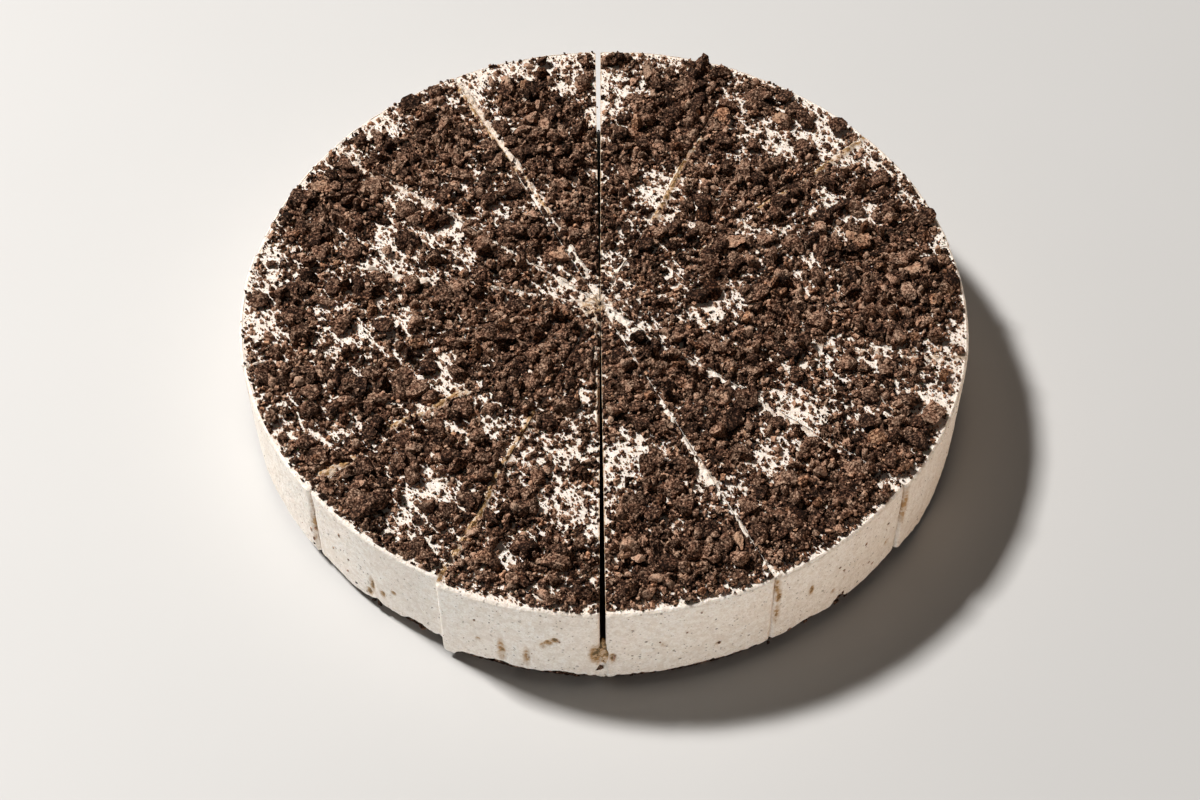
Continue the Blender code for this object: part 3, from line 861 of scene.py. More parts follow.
def thinness(x, y):
    """How thinly crumbs lie at places on the top, from nought to one."""
    amount = np.full(x.shape, THIN_BASE)
    for middle_x, middle_y, radius, more in THIN_AREAS:
        amount += more * np.exp(-((x - middle_x) ** 2 + (y - middle_y) ** 2) / radius ** 2)
    return np.clip(amount, 0.0, 1.0)


def bare_depth(x, y):
    """How far places on the top lie outside the nearest bare one; less than nought is inside it."""
    wander = np.array([noise.noise_vector(Vector((*place, 0.0)) / WANDER_SIZE) for place in zip(x, y)])
    x, y = x + wander[:, 0] * WANDER, y + wander[:, 1] * WANDER
    depth = np.full(x.shape, CAKE_RADIUS)
    for middle_x, middle_y, radius in BARE_PATCHES:
        depth = np.minimum(depth, np.hypot(x - middle_x, y - middle_y) - radius)
    for middle_x, middle_y, width, height in BARE_SPOTS:
        out = np.hypot((x - middle_x) * 2 / width, (y - middle_y) * 2 / height) - 1
        depth = np.minimum(depth, out * math.sqrt(width * height) / 2)
    return depth - BARE_MORE


def cover_of(tree, flat, ragged, gaps):
    """How well crumbs cover a place, with ragged bounds and small gaps; less than nought is bare."""
    broad = maths(tree, "SUBTRACT", noise_at(tree, flat, 4.2, 2.0), 0.5)
    close = maths(tree, "SUBTRACT", noise_at(tree, flat, 1.1, 1.0), 0.5)
    uneven = product(tree, maths(tree, "MULTIPLY_ADD", close, 0.8, broad), ragged)
    thinly = maths(tree, "MULTIPLY_ADD", stored(tree, "thin"), 0.12, noise_at(tree, flat, 2.4, 2.0))
    thin = eased(tree, thinly, 0.50, 0.66, 0.0, gaps)
    return maths(tree, "SUBTRACT", maths(tree, "ADD", stored(tree, "bare"), uneven), thin)


def push_about(tree, place, scale, detail, reach):
    """A push this way and that at each place, in a pattern of a scale."""
    feeds = {"Vector": place, "Scale": scale, "Detail": detail}
    pattern = add(tree, "ShaderNodeTexNoise", feeds).outputs["Color"]
    return arrow_of(tree, "SCALE", arrow_of(tree, "SUBTRACT", pattern, (0.5, 0.5, 0.5)), scale=reach)


def bed_tree():
    """Turns a flat sheet into packed crumbs of several sizes, with painted shade in their hollows, leaving
    out the bare places.
    """
    tree, sizes = new_tree(
        "packed crumbs", Coarse=4.4, Fine=1.9, Swell=2.2, Sunk=BED_SUNK, Ragged=COVER_RAGGED, Gaps=COVER_GAPS,
    )
    place = place_in_mm(tree)
    cover = cover_of(tree, in_plan(tree, place), sizes["Ragged"], sizes["Gaps"])
    feeds = {"Geometry": sizes["Geometry"], "Selection": maths(tree, "LESS_THAN", cover, 0.0)}
    kept = add(tree, "GeometryNodeDeleteGeometry", feeds, domain="FACE").outputs[0]

    bent = arrow_of(tree, "ADD", place, push_about(tree, place, 1 / 2.2, 2.0, 2.0))
    height, tone = 0.0, 0.0
    for size, share in (("Coarse", 1.0), ("Fine", 0.42)):
        scale = maths(tree, "DIVIDE", 1.0, sizes[size])
        crumb = add(tree, "ShaderNodeTexVoronoi", {"Vector": bent, "Scale": scale}, voronoi_dimensions="2D")
        own = own_numbers(tree, crumb)
        dome = eased(tree, crumb.outputs["Distance"], 0.75, 0.0)
        stands = product(tree, dome, eased(tree, own[0], 0.0, 1.0, 0.25, 1.0), share)
        height = maths(tree, "ADD", height, stands)
        tone = maths(tree, "ADD", tone, product(tree, own[1], 0.75 * share))
    # the tone is darkened where the bed lies low, painted shade in its hollows, and lowered overall so that
    # the gaps between the larger crumbs look dark, partly painted shade too
    tone = product(tree, tone, eased(tree, height, 0.05, 0.80, 0.25, 1.0))
    tone = maths(tree, "SUBTRACT", tone, 0.12)
    grit = product(tree, noise_at(tree, place, 0.9, 2.0), 0.45)
    drifts = eased(tree, noise_at(tree, place, 7.0, 1.0), 0.38, 0.62, 0.5, 1.3)
    height = product(tree, maths(tree, "ADD", height, grit), drifts)
    at_cut = eased(tree, stored(tree, "edge"), 0.0, 0.9, 0.6, 1.0)
    at_bare = eased(tree, cover, 0.0, 2.0, 0.35, 1.0)
    height = product(tree, height, product(tree, at_cut, at_bare), sizes["Swell"])
    height = maths(tree, "ADD", height, sizes["Sunk"])

    up = add(tree, "ShaderNodeCombineXYZ", {"Z": MM * 0.1}).outputs[0]
    feeds = {"Mesh": kept, "Offset": up, "Offset Scale": 1.0, "Individual": False}
    lifted = add(tree, "GeometryNodeExtrudeMesh", feeds, mode="FACES")
    rise = add(tree, "ShaderNodeCombineXYZ", {"Z": product(tree, height, MM)}).outputs[0]
    crumbs = moved(tree, lifted.outputs["Mesh"], rise, lifted.outputs["Top"])
    under = add(tree, "GeometryNodeFlipFaces", {"Mesh": kept}).outputs[0]
    both = add(tree, "GeometryNodeJoinGeometry")
    tree.links.new(crumbs, both.inputs[0])
    tree.links.new(under, both.inputs[0])
    feeds = {"Geometry": both.outputs[0], "Distance": 0.02 * MM}
    sealed = add(tree, "GeometryNodeMergeByDistance", feeds).outputs[0]
    toned = noted(tree, sealed, "tone", tone)
    end_tree(tree, noted(tree, toned, "warm", eased(tree, own[2], 0.85, 0.95, 0.0, 0.5)), cookie)
    return tree


def sheet_mesh(wedge):
    """The flat sheet for one wedge's crumbs, with how bare and how near a cut or the rim its points are."""
    rows = top_rows(wedge, CAKE_RADIUS - BED_RIM, CREAM_TOP - BED_SUNK, BED_SPACING, BED_INSET)
    points = np.vstack(rows)
    x, y = points[:, 0], points[:, 1]
    first, second = wedge_faces(wedge)
    edge = np.minimum(inward_distance(first, 1, x, y), inward_distance(second, -1, x, y))
    out = np.concatenate([np.full(len(row), step / (len(rows) - 1)) for step, row in enumerate(rows)])
    rim = (1.0 - out) * (CAKE_RADIUS - BED_RIM)
    smear, _ = smear_share(x, y)
    bare = np.minimum(bare_depth(x, y), (rim - RIM_CLEARS[wedge]) * RIM_STEEP)
    bare = np.minimum(np.minimum(bare, (0.5 - smear) * SMEAR_STEEP), BED_SURE)
    opened = wedge % len(CUT_LINES) in (0, len(CUT_LINES) - 1)
    room = np.minimum(edge + (0.0 if opened else BRIDGED), rim) - ROOM_SPARE
    values = {"bare": bare, "edge": edge, "room": room, "smear": smear, "thin": thinness(x, y)}
    return points, stitched(rows), values


packed_crumbs = bed_tree()
sheets = []
for wedge in range(WEDGES):
    sheets.append(sheet_mesh(wedge))
    points, faces, values = sheets[wedge]
    mesh = bpy.data.meshes.new("sheet")
    mesh.from_pydata((points * MM).tolist(), [], faces)
    for name in ("bare", "edge", "thin"):
        set_values(mesh, name, values[name])
    bed = worked(f"crumb_bed_{wedge + 1:02d}", mesh, packed_crumbs)
    placed(bed, "cookie_crumb", f"filling_{wedge + 1:02d}")


# The lumps. Broken pieces of cookie as large as a hazelnut, pressed a little into the cream. Their breaks
# are flat and gritty, and a few keep the milled ridges of the cookie's rim.
LUMPS_PER_WEDGE = 12
LUMP_LONGEST = 9.0
LUMP_SHORTEST = 5.8
LUMP_WIDTH_SHARE = (0.70, 0.95)
LUMP_HEIGHT_SHARE = (0.55, 0.75)
LUMP_TILT = 14.0
LUMP_SUNK_SHARE = 0.25
LUMP_CLEARANCE = 0.5
LUMP_OVER_PATCH = 0.3
LUMP_RIM_MARGIN = 1.2
LUMP_TRIES = 3000
TOPPING_SEED = 41
LUMP_TOP = 49.0  # no lump stands higher, so that its grit stays under the cake's full height
LOW_LUMP_SHARE = 0.66
LOW_LUMP_LIFT = 0.9
FINE_SHAPES = 8  # the first shapes are fine, then comes a ridged one, and then as many coarser ones
CRUMB_SHARP = 42.0
BREAK_REACH = (0.36, 0.80)  # how far from the middle of a ball one unit in radius its flat breaks lie
RIDGE_HEIGHT = 0.11
RIDGES_FROM = 0.15  # the ridges show above this height
WARM_LUMPS = 0.07  # the share of the coarser lumps that are of the better baked kind
WARM_LUMP = 0.6
LUMP_TONES = (-0.08, 0.42)
FILLINGS = [f"filling_{wedge + 1:02d}" for wedge in range(WEDGES)]

# How far in a crumb's corners may be pulled, for each of its forms
CORNER_PULLS = {"grain": 0.60, "block": 0.62, 1: 0.50, 2: 0.80, 3: 0.92, 4: 0.94}

# The length and width of those shown lumps that have ridges
RIDGED_LUMPS = ((11.0, 7.0), (8.0, 6.5), (10.5, 8.0))

# The lumps that stand out: x, y, length, width, height, turn from the X axis
SHOWN_LUMPS = (
    (39, 120, 8.0, 7.0, 9.0, 80),
    (47, 117, 9.0, 6.5, 6.0, 20),
    (38, 98, 12.0, 6.0, 6.0, 85),
    (60, 101, 10.0, 8.0, 7.0, 0),
    (122, 40, 7.5, 7.0, 6.0, 90),
    (70, 27, 10.0, 8.0, 5.5, 0),
    (55, 3, 11.0, 6.0, 6.0, 35),
    (124, 9, 9.0, 8.0, 6.0, 0),
    (75, -14, 10.0, 9.0, 5.0, 20),
    (113, -52, 9.0, 7.0, 6.0, 20),
    (88, -70, 10.0, 7.5, 4.5, 0),
    (44, -53, 13.0, 6.0, 5.5, 65),
    (12, -53, 10.0, 8.0, 4.5, 0),
    (8, -39, 14.0, 5.5, 6.0, 25),
    (-10, -123, 8.5, 7.0, 5.5, 45),
    (-16, -111, 10.0, 8.0, 6.0, 20),
    (-79, -89, 14.0, 8.5, 9.0, 60),
    (-50, -67, 11.0, 7.0, 5.5, 0),
    (-66, -70, 9.5, 8.0, 6.0, 0),
    (-83, -47, 8.0, 6.5, 4.5, 70),
    (-70, -35, 9.5, 8.0, 6.0, 0),
    (-109, -6, 12.0, 6.5, 5.0, 0),
    (-30, -9, 11.0, 6.5, 6.0, 10),
    (-72, 29, 9.0, 7.5, 6.0, 0),
    (-114, 50, 9.0, 8.0, 7.0, 0),
    (-98, 52, 13.0, 6.5, 6.5, 25),
    (-15, 65, 10.5, 8.0, 7.0, 90),
    (-55, 71, 11.0, 5.0, 5.5, 85),
    (-68, 83, 10.0, 5.5, 6.0, 70),
    (-27, 107, 8.5, 8.0, 6.5, 60),
    (-37, 107, 9.0, 8.0, 6.5, 100),
)

# Lower lumps that can be told apart: x, y, length, width, turn, and how pale
LOW_LUMPS = (
    (48, 27, 9.0, 6.0, 0, 0.8),
    (111, 13, 7.0, 6.0, 0, 0.8),
    (-16, 22, 7.0, 6.0, 0, 0.8),
    (-105, 55, 8.0, 6.0, 0, 0.8),
    (68, 90, 6.0, 5.5, 0, 1.0),
    (47, 90, 4.0, 4.0, 0, 1.0),
    (48, 21, 4.0, 3.0, 0, 1.0),
    (91, 31, 4.0, 4.0, 0, 1.0),
    (8, -88, 4.5, 4.0, 0, 1.0),
    (47, -101, 7.0, 3.0, 90, 1.0),
    (-33, -115, 4.0, 3.0, 90, 1.0),
    (30, 104, 11.0, 5.5, 0, 0.3),
    (58, 97, 7.0, 6.0, 20, 0.4),
    (73, 95, 7.0, 6.0, 0, 0.3),
    (90, 86, 7.0, 7.0, 0, 0.2),
    (50, -44, 8.0, 8.0, 0, 0.3),
    (26, -89, 8.0, 8.0, 0, 0.3),
    (63, -96, 8.0, 7.0, 0, 0.4),
    (48, -89, 7.0, 6.0, 30, 0.3),
    (17, -69, 7.0, 6.0, 0, 0.4),
    (10, -91, 7.0, 6.0, 60, 0.3),
    (-28, -89, 8.0, 7.0, 0, 0.3),
    (-38, -116, 8.0, 4.5, 0, 0.3),
    (-107, -14, 9.0, 7.0, 0, 0.3),
    (-35, -16, 8.0, 6.0, 0, 0.2),
    (-55, -13, 12.0, 5.0, 0, 0.3),
    (-89, -37, 8.0, 6.0, 40, 0.3),
    (-104, -32, 8.0, 8.0, 0, 0.3),
    (-107, 36, 9.0, 7.0, 0, 0.4),
    (-35, 33, 12.0, 6.0, 0, 0.3),
    (-68, 95, 7.0, 7.0, 0, 0.3),
    (-43, 75, 8.0, 7.0, 90, 0.3),
    (-26, 74, 7.0, 6.0, 0, 0.2),
    (-93, 80, 7.0, 6.0, 0, 0.3),
    (-97, 66, 8.0, 8.0, 0, 0.3),
    (-53, 62, 8.0, 5.0, 0, 0.4),
    (-5, 24, 8.0, 5.0, 0, 0.3),
    (-101, -62, 7.0, 7.0, 0, 0.3),
    (-82, -72, 8.0, 8.0, 0, 0.3),
)


def is_bare(point, reach):
    return any((point - Vector((x, y))).length < radius + reach for x, y, radius in BARE_PATCHES)


def settled(wedge, point, reach):
    """The point moved, if it has to be, so that a lump of that reach stays off the cuts and the rim."""
    room = reach + LUMP_CLEARANCE
    for face, side in zip(wedge_faces(wedge), (1, -1)):
        lacking = room - inward_distance(face, side, point.x, point.y)
        if lacking > 0:
            along = face[1]
            point = point + Vector((along.y, -along.x)) * side * lacking
    limit = CAKE_RADIUS + min(RIM_OFFSETS[wedge]) - LUMP_RIM_MARGIN - reach
    if point.length > limit:
        point = point * (limit / point.length)
    return point


def wedge_angle(wedge):
    return (cut_angle(wedge + 1) - cut_angle(wedge)) % 360.0


def wedge_of(point):
    """The wedge that a plan point lies in."""
    angle = math.degrees(math.atan2(point.x - HUB.x, point.y - HUB.y))
    for wedge in range(WEDGES):
        if (angle - cut_angle(wedge)) % 360.0 < wedge_angle(wedge):
            return wedge
    return 0


def wedge_lumps(wedge):
    """Every lump on one wedge, the shown ones first: place, length, width, height and turn."""
    lumps = []
    for x, y, length, width, height, turn in SHOWN_LUMPS:
        if wedge_of(Vector((x, y))) == wedge:
            lumps.append((settled(wedge, Vector((x, y)), length / 2), length, width, height, turn))
    rng = random.Random(TOPPING_SEED + wedge)
    for _ in range(LUMP_TRIES):
        if len(lumps) >= LUMPS_PER_WEDGE:
            break
        length = LUMP_LONGEST + (LUMP_SHORTEST - LUMP_LONGEST) * len(lumps) / LUMPS_PER_WEDGE
        angle = cut_angle(wedge) + wedge_angle(wedge) * rng.random()
        place = HUB + plan_direction(angle) * CAKE_RADIUS * math.sqrt(rng.random())
        width = length * rng.uniform(*LUMP_WIDTH_SHARE)
        height = length * rng.uniform(*LUMP_HEIGHT_SHARE)
        turn = rng.uniform(0.0, 180.0)
        if (settled(wedge, place, length / 2) - place).length > 0:
            continue
        if is_bare(place, LUMP_OVER_PATCH * length):
            continue
        if any((place - other[0]).length < (length + other[1]) / 2 + LUMP_CLEARANCE for other in lumps):
            continue
        lumps.append((place, length, width, height, turn))
    return lumps


def crumb_shape(name, form, splits, ridges, rng):
    """A broken crumb one unit across: a ball split along flat breaks, with ridges where it has any."""
    ball = bmesh.new()
    if form == "grain":
        bmesh.ops.create_uvsphere(ball, u_segments=4, v_segments=2, radius=1.0)
    elif form == "block":
        bmesh.ops.create_cube(ball, size=1.6)
        bmesh.ops.triangulate(ball, faces=ball.faces)
    else:
        bmesh.ops.create_icosphere(ball, subdivisions=form, radius=1.0)
    corners = np.array([vert.co for vert in ball.verts])
    for _ in range(splits):
        facing = rng.normal(size=3)
        facing /= np.linalg.norm(facing)
        over = corners @ facing - rng.uniform(*BREAK_REACH)
        corners -= np.outer(np.maximum(over, 0.0), facing)
    corners *= rng.uniform(CORNER_PULLS[form], 1.0, (len(corners), 1))
    corners[:, 2] += RIDGE_HEIGHT * np.sin(corners[:, 0] * ridges) * (corners[:, 2] > RIDGES_FROM)
    corners -= (corners.max(0) + corners.min(0)) / 2
    corners /= corners.max(0) - corners.min(0)
    for vert, corner in zip(ball.verts, corners):
        vert.co = corner
    mesh = bpy.data.meshes.new(name)
    ball.to_mesh(mesh)
    ball.free()
    return bpy.data.objects.new(name, mesh)


def crumb_shapes(name, *batches):
    """A set of crumb shapes; each batch has its number, its form or fineness, its breaks and its ridges.

    The draws are seeded by the length of the set's name.
    """
    rng = np.random.default_rng(len(name))
    shapes = bpy.data.collections.new(name)
    for number, form, splits, ridges in batches:
        for _ in range(number):
            shape_name = f"{name}_{len(shapes.objects):02d}"
            shapes.objects.link(crumb_shape(shape_name, form, splits, ridges, rng))
    return shapes


def cleared(shapes):
    """Takes away shapes or sheets that are no longer needed."""
    for shape in list(shapes.objects):
        mesh = shape.data
        bpy.data.objects.remove(shape)
        bpy.data.meshes.remove(mesh)
    bpy.data.collections.remove(shapes)


def one_of(tree, shapes):
    """The instances of a set of shapes, to pick from."""
    feeds = {"Collection": shapes, "Separate Children": True, "Reset Children": True}
    return add(tree, "GeometryNodeCollectionInfo", feeds).outputs[0]


def gritty_offset(tree, size, depth):
    """A push this way and that, by features of a size, so that no two crumbs are alike."""
    scale = maths(tree, "DIVIDE", 1.0, size)
    return push_about(tree, place_in_mm(tree), scale, 3.0, product(tree, depth, 2 * MM))


def turned(tree, angles):
    """The rotation that three angles give."""
    return add(tree, "FunctionNodeEulerToRotation", {0: angles}).outputs[0]


def crumb_tree(shapes):
    """Puts a crumb on each point of a mesh, by the point's own size, turn, shape and tone."""
    tree, sizes = new_tree("pressed crumbs and lumps", Grit=1.5, Depth=0.6)
    feeds = {"Points": sizes["Geometry"], "Instance": one_of(tree, shapes), "Pick Instance": True}
    feeds["Instance Index"] = stored(tree, "shape", "INT")
    feeds["Rotation"] = turned(tree, stored(tree, "turn", "FLOAT_VECTOR"))
    feeds["Scale"] = stored(tree, "size", "FLOAT_VECTOR")
    lumps = add(tree, "GeometryNodeInstanceOnPoints", feeds).outputs[0]
    end_tree(tree, lumps, cookie, gritty_offset(tree, sizes["Grit"], sizes["Depth"]))
    return tree


def finish_crumbs(piece, shapes):
    """Keeps the breaks of a piece's crumbs sharp, fixes it to the cake and clears its shapes away."""
    piece.data.set_sharp_from_angle(angle=math.radians(CRUMB_SHARP))
    placed(piece, "cookie_crumb", *FILLINGS)
    cleared(shapes)


def crumbs_at(name, spots, shapes, **relief):
    """One piece of many crumbs; a spot is a place, three sizes, three turns, a shape, a tone and a warmth."""
    places, lengths, turns, kinds, tones, warmths = zip(*spots)
    mesh = bpy.data.meshes.new(name + "_spots")
    mesh.from_pydata((np.array(places) * MM).tolist(), [], [])
    set_values(mesh, "size", np.array(lengths) * MM, "FLOAT_VECTOR")
    set_values(mesh, "turn", turns, "FLOAT_VECTOR")
    set_values(mesh, "shape", kinds, "INT")
    set_values(mesh, "tone", tones)
    set_values(mesh, "warm", warmths)
    finish_crumbs(worked(name, mesh, crumb_tree(shapes), **relief), shapes)


lump_shapes = crumb_shapes(
    "lump_shape", (FINE_SHAPES, 4, 9, 0.0), (1, 4, 7, 16.0), (FINE_SHAPES, 3, 8, 0.0),
)
rng = random.Random(TOPPING_SEED)
lean = math.radians(LUMP_TILT)
shown_sizes = [(length, width) for _, _, length, width, _, _ in SHOWN_LUMPS]
lump_spots = []
for wedge in range(WEDGES):
    for place, length, width, height, turn in wedge_lumps(wedge):
        level = CREAM_TOP + height * (0.5 - LUMP_SUNK_SHARE)
        size = (length, width, min(height * 0.95, 2 * (LUMP_TOP - level)))
        turns = (rng.uniform(-lean, lean), rng.uniform(-lean, lean), math.radians(turn))
        kind = rng.randrange(FINE_SHAPES) + (0 if (length, width) in shown_sizes else FINE_SHAPES + 1)
        if (length, width) in RIDGED_LUMPS:
            kind = FINE_SHAPES
        warm = WARM_LUMP if rng.random() < WARM_LUMPS and kind > FINE_SHAPES else 0.0
        tone = rng.uniform(*LUMP_TONES) + 0.1 * warm
        lump_spots.append(((place.x, place.y, level), size, turns, kind, tone, warm))
for x, y, length, width, turn, pale in LOW_LUMPS:
    height = LOW_LUMP_SHARE * width
    place = settled(wedge_of(Vector((x, y))), Vector((x, y)), length / 2)
    level = CREAM_TOP + LOW_LUMP_LIFT + height * (0.5 - LUMP_SUNK_SHARE)
    turns = (rng.uniform(-lean, lean), rng.uniform(-lean, lean), math.radians(turn))
    size, kind, warm = (length, width, height), rng.randrange(FINE_SHAPES), max(0.0, pale - 0.4)
    lump_spots.append(((place.x, place.y, level), size, turns, kind, pale - 0.1, warm))
crumbs_at("cookie_lumps", lump_spots, lump_shapes, Grit=2.8, Depth=1.35)


# The loose crumbs. The rest of the crushed cookies, from pieces the size of a pea down to dust, strewn over
# the bed between the lumps. They thin out over the bare places, and the knife has cleared them from its cuts.
GROUND_NAMES = ("cream_filling_", "crumb_bed_")
FALL_FROM = 10.0  # a crumb falls from this far above the cream's top, and through twice as much
FULL_TURN = 6.28  # in radians


def strewn_tree(shapes, ground):
    """Strews crumbs over a sheet and lets each drop onto the ground below it."""
    tree, sizes = new_tree(
        "strewn crumbs", Smallest=1.0, Largest=2.0, Bias=1.5, Spacing=1.0, Crowding=1.0, Bare=0.3, Thin=0.8,
        Covered=1.0, Sunk=0.2, Grit=1.0, Depth=0.3, Tone=0.0, Vary=1.0, Warm=0.0, Ceiling=49.3,
        Ragged=COVER_RAGGED, Gaps=COVER_GAPS, Seed=1,
    )

    def drawn(step):
        """A random number for each crumb."""
        seed = maths(tree, "ADD", sizes["Seed"], float(step))
        return add(tree, "FunctionNodeRandomValue", {2: 0.0, 3: 1.0, "Seed": seed}).outputs[1]

    def three_drawn(low, high):
        """Three random numbers for each crumb."""
        return add(tree, "FunctionNodeRandomValue", {0: low, 1: high}, data_type="FLOAT_VECTOR").outputs[0]

    cover = cover_of(tree, in_plan(tree, place_in_mm(tree)), sizes["Ragged"], sizes["Gaps"])
    feeds = {"Mesh": sizes["Geometry"], "Seed": sizes["Seed"]}
    feeds["Distance Min"] = product(tree, sizes["Spacing"], MM)
    feeds["Density Max"] = product(tree, sizes["Crowding"], 1 / MM ** 2)
    thinly = eased(tree, cover, -9.0, -3.5, sizes["Bare"], sizes["Thin"])
    covered = eased(tree, cover, -1.0, 2.5, thinly, sizes["Covered"])
    cleared_off = eased(tree, stored(tree, "smear"), 0.30, 0.75, 1.0, 0.12)
    feeds["Density Factor"] = product(tree, covered, cleared_off)
    points = add(tree, "GeometryNodeDistributePointsOnFaces", feeds, distribute_method="POISSON").outputs[0]

    spread = maths(tree, "SUBTRACT", sizes["Largest"], sizes["Smallest"])
    large = maths(tree, "POWER", drawn(1), sizes["Bias"])
    sized = noted(tree, points, "size", maths(tree, "MULTIPLY_ADD", large, spread, sizes["Smallest"]))
    size = stored(tree, "size")
    crossing = maths(tree, "LESS_THAN", stored(tree, "room"), product(tree, size, 0.5))
    feeds = {"Geometry": sized, "Selection": crossing}
    kept = add(tree, "GeometryNodeDeleteGeometry", feeds, domain="POINT").outputs[0]

    land = add(tree, "GeometryNodeRealizeInstances", {"Geometry": one_of(tree, ground)}).outputs[0]
    here = add(tree, "GeometryNodeInputPosition").outputs[0]
    above = arrow_of(tree, "ADD", here, (0.0, 0.0, FALL_FROM * MM))
    feeds = {"Target Geometry": land, "Source Position": above, "Ray Direction": (0.0, 0.0, -1.0)}
    feeds["Ray Length"] = 2 * FALL_FROM * MM
    fall = add(tree, "GeometryNodeRaycast", feeds)
    hit = add(tree, "ShaderNodeSeparateXYZ", {0: fall.outputs["Hit Position"]}).outputs
    thick = maths(tree, "SUBTRACT", 0.4, sizes["Sunk"])
    level = maths(tree, "MULTIPLY_ADD", size, thick, maths(tree, "DIVIDE", hit[2], MM))
    highest = maths(tree, "MULTIPLY_ADD", size, -0.56, sizes["Ceiling"])
    level = product(tree, maths(tree, "MINIMUM", level, highest), MM)
    spot = add(tree, "ShaderNodeCombineXYZ", {"X": hit[0], "Y": hit[1], "Z": level}).outputs[0]
    landed = add(tree, "GeometryNodeSetPosition", {"Geometry": kept, "Position": spot}).outputs[0]

    stretch = three_drawn((0.85, 0.6, 0.4), (1.15, 0.95, 0.85))
    shape = add(tree, "FunctionNodeRandomValue", {4: 0, 5: 1000}, data_type="INT").outputs[2]
    feeds = {"Points": landed, "Instance": one_of(tree, shapes), "Pick Instance": True}
    feeds["Instance Index"] = shape
    feeds["Rotation"] = turned(tree, three_drawn((0.0, 0.0, 0.0), (FULL_TURN, FULL_TURN, FULL_TURN)))
    feeds["Scale"] = arrow_of(tree, "SCALE", stretch, scale=product(tree, size, MM))
    crumbs = add(tree, "GeometryNodeInstanceOnPoints", feeds).outputs[0]
    pale = maths(tree, "MULTIPLY_ADD", maths(tree, "GREATER_THAN", drawn(3), 0.96), 0.3, sizes["Tone"])
    tone = maths(tree, "MULTIPLY_ADD", drawn(2), sizes["Vary"], pale)
    warm = maths(tree, "MAXIMUM", sizes["Warm"], maths(tree, "GREATER_THAN", drawn(4), 0.92))
    toned = noted(tree, crumbs, "tone", tone, "INSTANCE")
    warmed = noted(tree, toned, "warm", warm, "INSTANCE")
    end_tree(tree, warmed, cookie, gritty_offset(tree, sizes["Grit"], sizes["Depth"]))
    return tree


ground = bpy.data.collections.new("ground")
for piece in bpy.context.scene.collection.objects:
    if piece.name.startswith(GROUND_NAMES):
        ground.objects.link(piece)


def joined_sheet():
    """All the wedges' sheets as one, for the crumbs to be strewn on."""
    points = np.vstack([sheet[0] for sheet in sheets])
    points[:, 2] = CREAM_TOP
    faces, start = [], 0
    for sheet_points, sheet_faces, _ in sheets:
        faces += [tuple(start + corner for corner in face) for face in sheet_faces]
        start += len(sheet_points)
    mesh = bpy.data.meshes.new("strewing_sheet")
    mesh.from_pydata((points * MM).tolist(), [], faces)
    for name in ("bare", "room", "smear", "thin"):
        set_values(mesh, name, np.concatenate([values[name] for _, _, values in sheets]))
    return mesh


# Each kind of loose crumb: its shapes, then its sizes and how thickly it lies, for its tree
LOOSE_KINDS = (
    ("coarse_crumbs", ((12, 3, 8, 0.0),),
     dict(Smallest=4.6, Largest=9.6, Bias=1.5, Spacing=5.3, Crowding=0.040, Bare=0.05, Thin=0.45,
          Covered=1.0, Sunk=0.04, Grit=2.6, Depth=1.0, Tone=-0.08, Vary=0.6, Warm=0.0, Seed=3)),
    ("broken_crumbs", ((12, 2, 6, 0.0),),
     dict(Smallest=2.6, Largest=4.6, Bias=1.4, Spacing=3.2, Crowding=0.060, Bare=0.10, Thin=0.45,
          Covered=0.6, Sunk=0.10, Grit=1.6, Depth=0.6, Tone=0.0, Vary=0.8, Warm=0.0, Seed=17)),
    ("medium_crumbs", ((14, 2, 6, 0.0),),
     dict(Smallest=1.7, Largest=3.0, Bias=1.3, Spacing=2.0, Crowding=0.11, Bare=0.2, Thin=0.5,
          Covered=0.42, Sunk=0.16, Grit=1.1, Depth=0.5, Tone=0.0, Vary=0.9, Warm=0.1, Seed=5)),
    ("small_crumbs", ((10, "block", 1, 0.0), (5, 1, 2, 0.0)),
     dict(Smallest=0.9, Largest=2.1, Bias=1.7, Spacing=0.85, Crowding=0.45, Bare=0.32, Thin=1.0,
          Covered=0.20, Sunk=0.12, Grit=0.8, Depth=0.3, Tone=0.1, Vary=1.0, Warm=0.3, Seed=7)),
    ("fine_crumbs", ((10, "grain", 0, 0.0),),
     dict(Smallest=0.45, Largest=1.2, Bias=1.4, Spacing=0.5, Crowding=0.75, Bare=0.9, Thin=1.0,
          Covered=0.15, Sunk=0.10, Grit=0.8, Depth=0.05, Tone=0.15, Vary=1.0, Warm=0.4, Seed=11)),
)
for name, batches, amounts in LOOSE_KINDS:
    shapes = crumb_shapes(name + "_shape", *batches)
    finish_crumbs(worked(name, joined_sheet(), strewn_tree(shapes, ground), **amounts), shapes)
bpy.data.collections.remove(ground)


# The crumbs in the side. Some of the cookies that were stirred into the cream show at its side as pressed
# flecks, and crumbs of the crust hang in the ragged gap under the cream's foot.
FLECK_NUMBER = 260
FLECK_SIZES = (0.30, 0.80)
FLECK_SUNK = 0.18  # how far inside the side's full reach a fleck ends
FLECK_TONE = 0.3  # the flecks look paler through a film of cream
FLECK_BIAS = 2.5
FLECKS_FROM = 3.0  # the lowest flecks are this far above the crust
LOW_SIDE = 33.0  # crumbs further under the top than this are bare and dark
FILMED_TONE = 0.4
DARK_TONE = -0.2
TONE_RANGE = 0.5
SIDE_CRUMB_SUNK = 0.35  # how far in the middle of a crumb in the side lies, as a share of its width
FOOT_CRUMB_NUMBER = 620
FOOT_CRUMB_SIZES = (0.9, 2.6)
SIDE_SEED = 77

